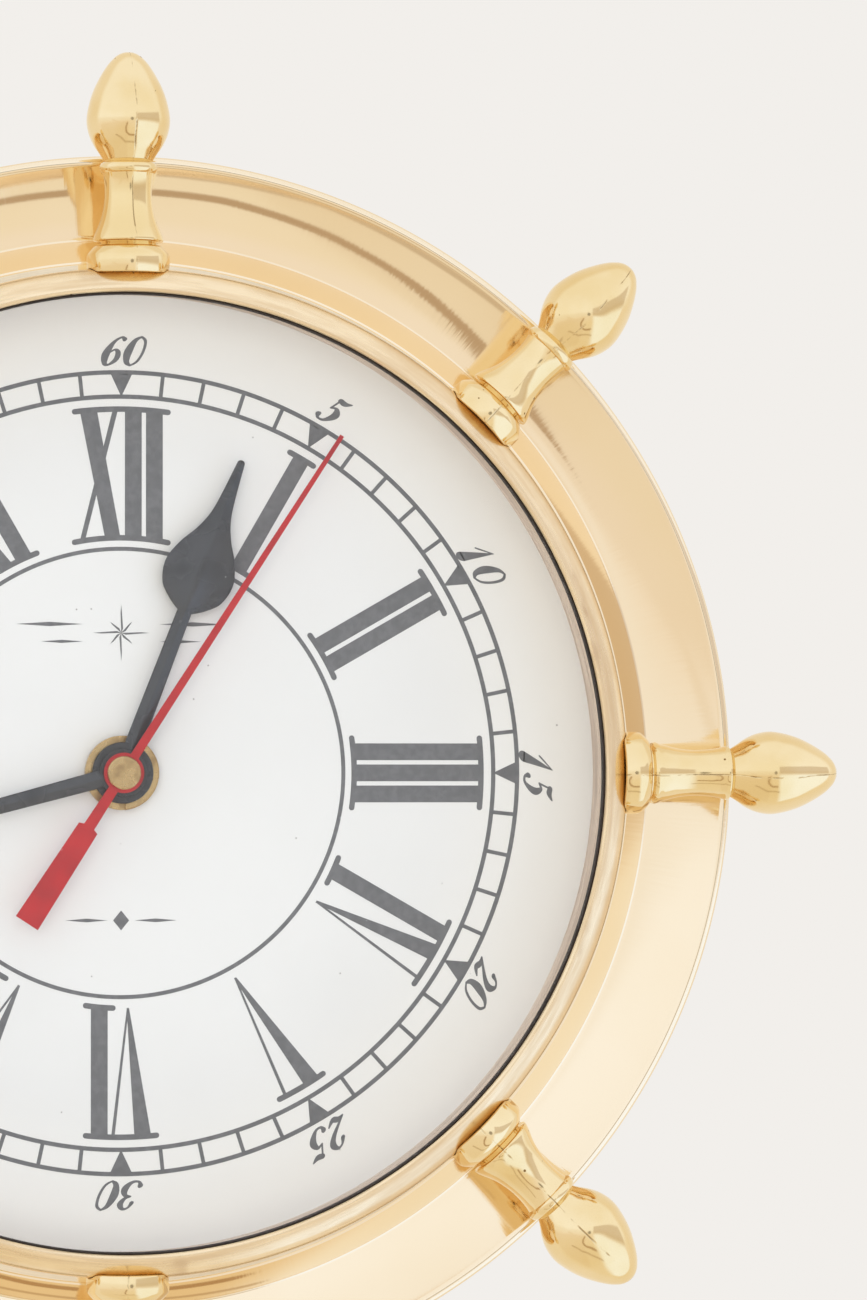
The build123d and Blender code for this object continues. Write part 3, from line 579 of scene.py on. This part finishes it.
# strokes of the slanted figures, as (x, y, width) in a figure one unit tall
FIGURES = {
    "0": [[(0.30, 0.99, 0.05), (0.14, 0.85, 0.13), (0.07, 0.5, 0.21), (0.14, 0.15, 0.13), (0.30, 0.01, 0.05)],
          [(0.30, 0.99, 0.05), (0.47, 0.84, 0.07), (0.53, 0.5, 0.07), (0.47, 0.16, 0.07), (0.30, 0.01, 0.05)]],
    "1": [[(0.20, 0.0, 0.27), (0.22, 0.5, 0.15), (0.25, 1.0, 0.02)], [(0.25, 0.99, 0.03), (-0.02, 0.56, 0.05)]],
    "2": [[(0.10, 0.72, 0.12), (0.15, 0.90, 0.06), (0.30, 0.96, 0.08), (0.46, 0.78, 0.17), (0.40, 0.54, 0.13),
           (0.20, 0.26, 0.08), (0.04, 0.05, 0.06)],
          [(0.03, 0.05, 0.05), (0.20, 0.10, 0.13), (0.38, 0.04, 0.13), (0.53, 0.20, 0.05)]],
    "3": [[(0.10, 0.76, 0.11), (0.16, 0.92, 0.06), (0.31, 0.96, 0.08), (0.44, 0.79, 0.15), (0.36, 0.60, 0.09),
           (0.22, 0.54, 0.05)],
          [(0.22, 0.54, 0.05), (0.40, 0.49, 0.10), (0.48, 0.27, 0.18), (0.34, 0.06, 0.09), (0.14, 0.04, 0.06),
           (0.05, 0.17, 0.13)]],
    "4": [[(0.38, 0.97, 0.06), (0.18, 0.62, 0.05), (0.0, 0.29, 0.06)], [(0.0, 0.28, 0.08), (0.56, 0.28, 0.08)],
          [(0.38, 0.97, 0.12), (0.37, 0.0, 0.17)]],
    "5": [[(0.16, 0.55, 0.05), (0.32, 0.60, 0.09), (0.46, 0.36, 0.19), (0.33, 0.07, 0.09), (0.14, 0.04, 0.06),
           (0.05, 0.17, 0.13)],
          [(0.16, 0.55, 0.05), (0.19, 0.95, 0.05)], [(0.18, 0.93, 0.12), (0.36, 0.89, 0.14), (0.52, 0.98, 0.05)]],
    "6": [[(0.48, 0.90, 0.11), (0.36, 0.97, 0.06), (0.18, 0.80, 0.10), (0.08, 0.42, 0.20), (0.15, 0.10, 0.12),
           (0.28, 0.03, 0.06), (0.45, 0.20, 0.13), (0.45, 0.42, 0.13), (0.32, 0.55, 0.06), (0.16, 0.44, 0.05)]],
}
SLANT = 0.42
FIGURE_WIDTH = 0.62
FIGURE_GAP = 0.12
STRETCH, WEIGHT = 1.10, 1.25  # how much wider the figures and their strokes are than drawn


def minute_figure(ink, text, angle):
    total = len(text) * FIGURE_WIDTH + (len(text) - 1) * FIGURE_GAP + SLANT * 0.5
    for index, figure in enumerate(text):
        start = index * (FIGURE_WIDTH + FIGURE_GAP) - total / 2

        def place(x, y, start=start):
            across = (start + STRETCH * x + SLANT * y) * FIGURE_HEIGHT
            return at_angle(angle, across, FIGURE_BASE + y * FIGURE_HEIGHT)

        for points in FIGURES[figure]:
            ink.stroke([(x, y, WEIGHT * wide) for x, y, wide in points], place)


def star(ink, centre, size, angle=0.0):
    """A plain eight-pointed compass star."""
    for index in range(8):
        reach = size if index % 2 == 0 else size * 0.55
        direction = 45.0 * index + angle
        tip = at_angle(direction, 0, reach)
        side = at_angle(direction + 22.5, 0, size * 0.17)
        other = at_angle(direction - 22.5, 0, size * 0.17)
        for half, keep in ((side, 1.0), (other, 0.35)):
            middle = (tip[0] * (1 - keep) + half[0] * keep, tip[1] * (1 - keep) + half[1] * keep)
            ink.shape([(centre[0] + x, centre[1] + z) for x, z in ((0, 0), tip, middle)])


def rule(ink, start, end, height, thick):
    """A rule that tapers to both ends."""
    middle = (start + end) / 2
    ink.shape([(start, height), (middle, height + thick / 2), (end, height), (middle, height - thick / 2)])


def make_print():
    ink = Print()
    ink.ring(*TRACK_OUTER)
    ink.ring(*TRACK_INNER)
    ink.ring(*INNER_CIRCLE)
    for minute in range(60):
        angle = 6.0 * minute
        if minute % 5:
            inner, outer = TRACK_INNER[1] - 0.05, TRACK_OUTER[0] + 0.05
            corners = ((-TICK / 2, inner), (TICK / 2, inner), (TICK / 2, outer), (-TICK / 2, outer))
        else:
            inner, outer = TRACK_INNER[1] - 0.2, TRACK_OUTER[0] + 0.1
            corners = ((0.08, inner), (MARK_BASE / 2, outer), (-MARK_BASE / 2, outer), (-0.08, inner))
        ink.shape([at_angle(angle, across, out) for across, out in corners])
    hours = ("XII", "I", "II", "III", "IV", "V", "VI", "VII", "VIII", "IX", "X", "XI")
    for hour, text in enumerate(hours):
        numeral(ink, text, 30.0 * hour)
        minute_figure(ink, str(5 * hour or 60), 30.0 * hour)
    star(ink, (0, 22.6), 4.6)
    for side in (-1, 1):
        rule(ink, side * 6.2, side * 17.0, 24.0, 0.7)
        rule(ink, side * 6.2, side * 13.0, 21.2, 0.5)
        rule(ink, side * 2.2, side * 9.0, -23.8, 0.6)
    ink.shape([(-1.3, -23.8), (0, -22.2), (1.3, -23.8), (0, -25.4)])
    piece("dial_print", ink.mesh("dial_print"), "dial_ink", "case")


# ---------------------------------------------------------------- hands
def hand_mesh(name, angle, back, thickness, rows, ridge, hub_r):
    """A hand pressed from sheet. rows are (distance along, half width, crest height) from hub to tip; back is the
    y of its rear face, and the crest rises from the edges to a ridge along the middle."""
    columns = 8
    bm = bmesh.new()
    a = radians(angle)
    along, side = Vector((sin(a), 0, cos(a))), Vector((cos(a), 0, -sin(a)))
    grid = []
    for v, half, crest, soft in rows:
        front, rear = [], []
        for k in range(-columns, columns + 1):
            t = k / columns
            rise = crest * (1 - abs(t)) ** soft
            place = along * (v * MM) + side * (half * t * MM)
            edge = 0.12 if abs(k) == columns else 0.0
            front.append(bm.verts.new(place + Vector((0, back - (thickness - edge + rise) * MM, 0))))
            rear.append(bm.verts.new(place + Vector((0, back, 0))))
        grid.append((front, rear))
    for (f0, r0), (f1, r1) in zip(grid, grid[1:]):
        for k in range(2 * columns):
            bm.faces.new((f0[k], f0[k + 1], f1[k + 1], f1[k]))
            bm.faces.new((r0[k], r1[k], r1[k + 1], r0[k + 1]))
        bm.faces.new((f0[0], f1[0], r1[0], r0[0]))
        bm.faces.new((f0[-1], r0[-1], r1[-1], f1[-1]))
    for front, rear in (grid[0], grid[-1]):
        for k in range(2 * columns):
            bm.faces.new((front[k], rear[k], rear[k + 1], front[k + 1]))
    add_turned(bm, hub_r, back)
    bmesh.ops.recalc_face_normals(bm, faces=list(bm.faces))
    mesh = bpy.data.meshes.new(name)
    bm.to_mesh(mesh)
    bm.free()
    smooth(mesh, 30.0)
    return mesh


def add_turned(bm, outline, back, count=96, centre=(0.0, 0.0)):
    """Adds a ring turned about an axis along Y from a closed outline of (radius, height) points, in mm."""
    loops = []
    for index in range(count):
        a = 2 * pi * index / count
        loops.append([
            bm.verts.new((centre[0] + r * MM * sin(a), back - h * MM, centre[1] + r * MM * cos(a))) for r, h in outline
        ])
    size = len(outline)
    for one, two in zip(loops, loops[1:] + loops[:1]):
        for k in range(size):
            j = (k + 1) % size
            bm.faces.new((one[k], one[j], two[j], two[k]))


def hermite(points, x):
    """A smooth value at x through (x, value) points, never past its neighbours."""
    if x <= points[0][0]:
        return points[0][1]
    for i in range(len(points) - 1):
        (x0, y0), (x1, y1) = points[i], points[i + 1]
        if x <= x1:
            before = points[i - 1] if i else points[i]
            after = points[i + 2] if i + 2 < len(points) else points[i + 1]
            width = x1 - x0
            m0 = (y1 - before[1]) / (x1 - before[0]) if i else (y1 - y0) / width
            m1 = (after[1] - y0) / (after[0] - x0) if i + 2 < len(points) else (y1 - y0) / width
            t = (x - x0) / width
            return (
                y0 * (2 * t**3 - 3 * t * t + 1) + y1 * (3 * t * t - 2 * t**3)
                + width * (m0 * (t**3 - 2 * t * t + t) + m1 * (t**3 - t * t))
            )
    return points[-1][1]


def spade_rows(length, stem, leaf, leaf_half, hub_r):
    scale = (length - leaf) / 26.0
    leaf_outline = [
        (leaf, stem * 0.8), (leaf + 1.2 * scale, 0.52 * leaf_half), (leaf + 3.2 * scale, 0.86 * leaf_half),
        (leaf + 6.8 * scale, leaf_half), (leaf + 10.4 * scale, 0.80 * leaf_half),
        (leaf + 13.4 * scale, 0.50 * leaf_half), (leaf + 16.4 * scale, 0.30 * leaf_half),
        (leaf + 20.0 * scale, 0.20 * leaf_half), (length - 0.4, 0.62),
    ]
    rows = []
    for step in range(11):
        v = hub_r * 0.8 + (leaf - hub_r * 0.8) * step / 10
        rows.append((v, stem * (1.0 - 0.2 * v / leaf), 0.30, 1.0))
    for step in range(1, 81):
        v = leaf + (length - 0.4 - leaf) * step / 80
        half = hermite(leaf_outline, v)
        soft = 1.0 + 0.9 * max(0.0, min(1.0, (half - 1.5) / 3.0))
        rows.append((v, half, 0.30 + 0.35 * min(1.0, half / leaf_half), soft))
    rows.append((length - 0.2, 0.52, 0.2, 1.0))
    rows.append((length - 0.06, 0.34, 0.1, 1.0))
    rows.append((length, 0.12, 0.02, 1.0))
    return rows


def ring_outline(inner, outer, high, bevel=0.15):
    return [(inner, 0), (outer, 0), (outer, high - bevel), (outer - bevel, high), (inner, high)]


def make_hands():
    for name, angle, body, sizes, hub, bore in (
        ("hour_hand", HOUR_ANGLE, "hour_arbor", (54.0, 1.5, 27.8, 5.85), 4.95, 2.5),
        ("minute_hand", MINUTE_ANGLE, "minute_arbor", (62.5, 1.45, 32.0, 5.0), 3.9, 1.6),
    ):
        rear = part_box(name)[1].y
        length, stem, leaf, leaf_half = sizes
        rows = spade_rows(length, stem, leaf, leaf_half, hub)
        mesh = hand_mesh(f"pressed_{name}", angle, rear, 0.25, rows, 0.3, ring_outline(bore, hub, 0.42))
        piece(f"pressed_{name}", mesh, "hand_black", body, (name,))


# ---------------------------------------------------------------- wheel rim, bezel and handles, in mm
RIM_R, CREST, DISH, SEAT = 99.4, (98.0, 24.0), (86.2, 20.0), (82.3, 24.6)
DISH_SLOPE = radians(5.0)
SHEET = 1.2
LIP_R, LIP_H, DRUM_R, BORE_R = 76.5, 37.6, 80.5, 78.4
SPIGOT_R = DRUM_R - 1.1
HANDLE_H = 32.6


def slope_at_end(points):
    (x0, y0), (x1, y1) = points[-2:]
    return (x1 - x0, y1 - y0)


def make_rim():
    dish = [DISH] + arc_points(DISH, CREST, (cos(DISH_SLOPE), sin(DISH_SLOPE)), 40)
    crown = arc_points(CREST, (RIM_R, 22.8), slope_at_end(dish), 24)
    front = [(SPIGOT_R, SEAT[1]), (SEAT[0] - 0.3, SEAT[1])]
    front += arc_points(front[-1], (SEAT[0] + 0.2, SEAT[1] - 0.25), (1, 0), 4)
    front += [(DISH[0] - 0.35, DISH[1] + 0.42)]
    front += arc_points(front[-1], (DISH[0] + 0.25, DISH[1]), (0.65, -0.76), 4) + dish[2:] + crown
    side = [(98.95, 20.0), (98.4, 17.6), (95.2, 4.0), (95.2, 0.0)]
    inside = [(94.0, 0.0), (94.0, 1.2), (86.0, 1.2), (86.0, 2.4), (94.0, 2.4), (94.0, 4.1), (97.2, 17.8)]
    inside += [(98.05, 21.4), (97.95, 22.2)]
    inside += [(x, y - SHEET) for x, y in reversed(dish[:-1])] + [(SEAT[0] - 0.5, 23.4), (SPIGOT_R, 23.4)]
    mesh = turned_mesh("spun_rim", front + side + inside, 512)
    piece("spun_rim", mesh, "polished_brass", "case", ("wheel_rim",))


def drum_roll():
    """The drum's front, from its straight wall round to the lip."""
    return [(DRUM_R, 34.0)] + arc_points((DRUM_R, 34.0), (LIP_R + 0.5, LIP_H), (0, 1), 30)


def make_drum():
    outline = [(BORE_R, 16.5), (SPIGOT_R, 16.5), (SPIGOT_R, 24.6), (DRUM_R, 24.6)] + drum_roll()
    outline += [(LIP_R + 0.15, LIP_H - 0.1), (LIP_R, LIP_H - 0.4), (LIP_R, 35.8), (BORE_R, 35.8)]
    mesh = turned_mesh("rolled_drum", outline, 512)
    piece("rolled_drum", mesh, "bezel_brass", "case", ("bezel_drum",))
    bead = [(LIP_R - 0.36, 35.2), (BORE_R, 35.2), (BORE_R, 35.75), (LIP_R - 0.02, 35.75), (LIP_R - 0.02, 36.9)]
    bead += [(LIP_R - 0.2, 37.05), (LIP_R - 0.36, 36.8)]
    mesh = turned_mesh("gasket_bead", bead)
    piece("gasket_bead", mesh, "black_rubber", "case", ("glass_gasket",))


def drum_front_r(height):
    """The drum's outside radius at that height, for the collars to sit on."""
    roll = drum_roll()
    if height <= 34.0:
        return DRUM_R
    for (r0, h0), (r1, h1) in zip(roll, roll[1:]):
        if h0 <= height <= h1:
            return r0 + (r1 - r0) * (height - h0) / (h1 - h0)
    return LIP_R


def handle_mesh(name, outline, index, saddle=False):
    """A mesh turned about one handle's axis from (distance out, radius) points, open at the ends of the axis."""
    count = 72
    a = radians(45.0 * index)
    out, side = Vector((sin(a), 0, cos(a))), Vector((cos(a), 0, -sin(a)))
    bm = bmesh.new()
    turn = bm.loops.layers.uv.new("turn")
    rows = []
    for k in range(count):
        phi = 2 * pi * k / count
        row = []
        for v, r in outline:
            rise, across = r * cos(phi), r * sin(phi)
            if saddle and v < DRUM_R + 0.35:
                reach = drum_front_r(HANDLE_H + rise)
                v = v - DRUM_R + max(DRUM_R - 0.9, sqrt(reach * reach - across * across)) + 0.04
            place = out * v + side * across - Vector((0, 1, 0)) * (HANDLE_H + rise)
            row.append(bm.verts.new(place * MM))
        rows.append(row)
    for k in range(count):
        one, two = rows[k], rows[(k + 1) % count]
        for j in range(len(outline) - 1):
            face = bm.faces.new((one[j], two[j], two[j + 1], one[j + 1]))
            start = k / count if k < count // 2 else k / count - 1.0
            for loop, (du, dj) in zip(face.loops, ((0, 0), (1, 0), (1, 1), (0, 1))):
                loop[turn].uv = (start + du / count, outline[j + dj][0] * MM)
    bmesh.ops.remove_doubles(bm, verts=list(bm.verts), dist=1e-7)
    bmesh.ops.recalc_face_normals(bm, faces=list(bm.faces))
    mesh = bpy.data.meshes.new(name)
    bm.to_mesh(mesh)
    bm.free()
    smooth(mesh, 40.0)
    return mesh


def curve(points, count=24):
    """Points along a smooth curve through points, rising in their first number."""
    first, last = points[0][0], points[-1][0]
    return [(first + (last - first) * k / count, hermite(points, first + (last - first) * k / count))
            for k in range(count + 1)]


KNOB = [(97.5, 3.75), (98.6, 4.45), (100.2, 5.55), (102.0, 6.35), (104.2, 6.70), (106.6, 6.35), (109.0, 5.60),
        (111.4, 4.40), (113.3, 3.15), (114.4, 2.10)]
FLARED_BARREL = [(85.0, 5.62), (85.5, 5.52), (86.4, 5.18), (87.7, 4.62), (89.0, 4.20), (91.2, 3.82), (93.2, 3.76),
                 (94.8, 3.90), (95.7, 4.10)]
WAISTED_BARREL = [(85.0, 4.75), (85.6, 4.72), (87.0, 4.45), (89.0, 3.95), (91.6, 3.68), (94.0, 3.78), (95.7, 4.02)]


def make_handles():
    for index in range(8):
        flared = index != 2
        waist = curve(FLARED_BARREL if flared else WAISTED_BARREL, 30)
        inner = [(84.7, 0.0), (84.7, waist[0][1] - 0.3), (84.85, waist[0][1] - 0.05)]
        outer = [(95.8, 4.3), (96.0, 4.48), (96.4, 4.60), (96.9, 4.58), (97.25, 4.42), (97.45, 4.1), (97.5, 3.0)]
        if not flared:
            inner = [(84.7, 0.0), (84.7, 4.5), (84.8, 4.85), (85.2, 5.0), (85.6, 4.9)]
            waist = [point for point in waist if point[0] > 85.8]
            outer = [(96.4, 4.2), (97.0, 4.38), (97.3, 4.3), (97.45, 4.0), (97.5, 3.0)]
        barrel = handle_mesh(f"barrel_{index + 1}", inner + waist + outer, index)
        piece(f"barrel_{index + 1}", barrel, "handle_brass", "case", (f"handle_barrel_{index + 1}",))
        body = curve(KNOB, 44)
        tip = [(114.8, 1.5), (115.05, 0.9), (115.18, 0.0)]
        knob = handle_mesh(f"knob_{index + 1}", [(97.4, 0.0), (97.4, 3.6)] + body + tip, index)
        piece(f"knob_{index + 1}", knob, "handle_brass", "case", (f"handle_knob_{index + 1}",))
    outline = [(80.5, 0.0), (80.5, 3.0), (80.5, 5.6), (80.5, 6.3), (80.6, 6.52), (80.8, 6.6), (81.6, 6.66)]
    outline += [(82.5, 6.62), (82.8, 6.5), (83.3, 6.1), (83.8, 5.65), (84.05, 5.35), (84.1, 4.6), (84.7, 4.4), (84.7, 0.0)]
    bm = bmesh.new()
    for index in range(8):
        bm.from_mesh(handle_mesh("collar", outline, index, saddle=True))
    mesh = bpy.data.meshes.new("seated_collars")
    bm.to_mesh(mesh)
    bm.free()
    piece("seated_collars", mesh, "handle_brass", "case", ("handle_collars",))


# ---------------------------------------------------------------- stage
# What the brass mirrors of the room, in direction cosines (right, up) seen from the clock towards the front: a
# camera stand as a brown band, and below and beside it a part of the room that is a little darker.
STAND = [(0.22, -0.62), (0.10, -0.63), (-0.02, -0.63), (-0.12, -0.57), (-0.19, -0.48), (-0.20, -0.35), (-0.13, -0.20)]
SHADED = [(-0.10, -0.14), (-0.31, -0.18), (-0.56, -0.16), (-0.75, -0.05)]
SKIRTING = [(0.30, -0.80), (-0.19, -0.80), (-0.60, -0.58)]
CAMERA_SPOT = (0.0995, 0.0)
HEIGHT_COLORS = [(-0.80, (0.92, 0.87, 0.76)), (-0.40, (0.94, 0.90, 0.82)), (-0.15, (0.96, 0.93, 0.92)),
                 (0.0, (0.98, 1.0, 1.05)), (0.15, (1.05, 1.12, 1.27)), (0.80, (1.02, 1.07, 1.18))]
BACKDROP = (0.887, 0.863, 0.831)


class Room(Shader):
    """The world's nodes: a plain backdrop for the camera, and a softly lit room for everything else."""

    def __init__(self, world):
        world.use_nodes = True
        self.tree = world.node_tree
        self.tree.nodes.clear()
        self.output = self.tree.nodes.new("ShaderNodeOutputWorld")
        direction = self.add("ShaderNodeTexCoord").outputs["Generated"]
        self.x, self.y, self.z = self.add("ShaderNodeSeparateXYZ", Vector=direction).outputs

    def distance(self, start, end):
        """How far a direction is from the line between two (right, up) points."""
        (x0, z0), (x1, z1) = start, end
        dx, dz = x1 - x0, z1 - z0
        size = dx * dx + dz * dz or 1.0
        px, pz = self.math("SUBTRACT", self.x, x0), self.math("SUBTRACT", self.z, z0)
        along = self.math("ADD", self.math("MULTIPLY", px, dx / size), self.math("MULTIPLY", pz, dz / size), True)
        qx = self.math("SUBTRACT", px, self.math("MULTIPLY", along, dx))
        qz = self.math("SUBTRACT", pz, self.math("MULTIPLY", along, dz))
        return self.math("SQRT", self.math("ADD", self.math("MULTIPLY", qx, qx), self.math("MULTIPLY", qz, qz)))

    def near(self, path):
        """How far a direction is from a path of (right, up) points."""
        found = None
        for start, end in zip(path, path[1:]):
            reach = self.distance(start, end)
            found = reach if found is None else self.math("MINIMUM", found, reach)
        return found


def make_world():
    world = bpy.data.worlds.new("studio")
    bpy.context.scene.world = world
    r = Room(world)
    front = r.span(r.y, 0.05, -0.05)
    color = HEIGHT_COLORS[0][1]
    for (low, _), (high, tint) in zip(HEIGHT_COLORS, HEIGHT_COLORS[1:]):
        color = r.mix(r.span(r.z, low, high), color, tint)
    color = r.mix(r.span(r.y, 0.0, 0.3), color, (0.93, 0.90, 0.85))
    window = r.math("MULTIPLY", r.span(r.x, 0.20, 0.40), r.span(r.z, 0.0, -0.15))
    color = r.mix(r.math("MULTIPLY", window, front), color, (1.06, 1.22, 1.55))
    panel = r.math("MULTIPLY", r.span(r.x, 0.26, 0.31), r.span(r.z, 0.30, 0.26))
    panel = r.math("MULTIPLY", panel, r.span(r.z, -0.12, 0.03))
    color = r.mix(r.math("MULTIPLY", r.math("MULTIPLY", panel, front), 0.55), color, (0.56, 0.45, 0.36))
    shaded = r.near(SHADED)
    below = r.math("MULTIPLY", r.span(r.z, -0.10, -0.19), r.span(r.x, -0.06, -0.12))
    shade = r.math("MAXIMUM", r.span(shaded, 0.06, 0.0), below)
    color = r.mix(r.math("MULTIPLY", r.math("MULTIPLY", shade, front), 0.35), color, (0.82, 0.72, 0.58))
    band = r.math("MULTIPLY", r.span(r.near(STAND), 0.042, 0.024), front)
    color = r.mix(r.math("MULTIPLY", band, 0.85), color, (0.46, 0.32, 0.20))
    edge = r.math("MULTIPLY", r.span(r.near(SKIRTING), 0.030, 0.012), front)
    color = r.mix(r.math("MULTIPLY", edge, 0.6), color, (0.50, 0.38, 0.26))
    behind = r.math("MULTIPLY", r.span(r.near([CAMERA_SPOT, CAMERA_SPOT]), 0.088, 0.066), front)
    color = r.mix(r.math("MULTIPLY", behind, 0.8), color, (0.24, 0.22, 0.20))
    room = r.add("ShaderNodeBackground", Color=color, Strength=1.0)
    backdrop = r.add("ShaderNodeBackground", Color=(*BACKDROP, 1.0), Strength=1.0)
    chosen = r.add("ShaderNodeMixShader")
    r.feed(chosen.inputs[0], r.add("ShaderNodeLightPath").outputs["Is Camera Ray"])
    r.feed(chosen.inputs[1], room)
    r.feed(chosen.inputs[2], backdrop)
    r.feed(r.output.inputs["Surface"], chosen)


def make_floor():
    """A pale round floor under the clock, which fades out at its edge."""
    bm = bmesh.new()
    bmesh.ops.create_circle(bm, cap_ends=True, radius=1.0, segments=96)
    mesh = bpy.data.meshes.new("floor")
    bm.to_mesh(mesh)
    bm.free()
    floor = bpy.data.objects.new("floor", mesh)
    floor.visible_glossy = False
    floor.location = (0, 0.15, -0.6)
    bpy.context.scene.collection.objects.link(floor)
    s = Shader("floor_paint")
    s.surface((0.90, 0.88, 0.85), 0.9, s.bump(s.noise(300.0), 0.00002))
    paint = s.output.inputs["Surface"].links[0].from_node
    x, y, z = s.add("ShaderNodeSeparateXYZ", Vector=s.coords()).outputs
    radius = s.math("SQRT", s.math("ADD", s.math("MULTIPLY", x, x), s.math("MULTIPLY", y, y)))
    faded = s.add("ShaderNodeMixShader")
    s.feed(faded.inputs[0], s.span(radius, 0.45, 0.95))
    s.feed(faded.inputs[1], paint)
    s.feed(faded.inputs[2], s.add("ShaderNodeBsdfTransparent"))
    s.feed(s.output.inputs["Surface"], faded)
    mesh.materials.append(s.material)


def make_camera():
    data = bpy.data.cameras.new("camera")
    camera = bpy.data.objects.new("camera", data)
    bpy.context.scene.collection.objects.link(camera)
    eye = Vector((-0.0946, -0.9969, 0.0001))
    aim = Vector((0.02975, DIAL_Y, 0.01486))
    camera.location = eye
    camera.rotation_euler = (aim - eye).to_track_quat("-Z", "Y").to_euler()
    data.lens = 168.1
    data.shift_x, data.shift_y = 0.10, 0.024
    bpy.context.scene.camera = camera


def make_key_light():
    """A large soft lamp in front and a little to the left, which lights the dial but isn't mirrored in the brass or
    the glass.
    """
    data = bpy.data.lights.new("key", "AREA")
    data.shape = "DISK"
    data.size = 1.3
    data.energy = 9.2
    data.color = (1.0, 0.94, 0.85)
    light = bpy.data.objects.new("key", data)
    light.location = (-0.25, -1.75, 0.0)
    light.rotation_euler = (-light.location).to_track_quat("-Z", "Y").to_euler()
    light.visible_glossy = False
    light.visible_transmission = False
    light.visible_camera = False
    bpy.context.scene.collection.objects.link(light)


finish_cad_nodes()
make_rim()
make_drum()
make_handles()
make_print()
make_hands()
make_world()
make_key_light()
make_floor()
make_camera()
bpy.context.scene.view_settings.view_transform = "Standard"
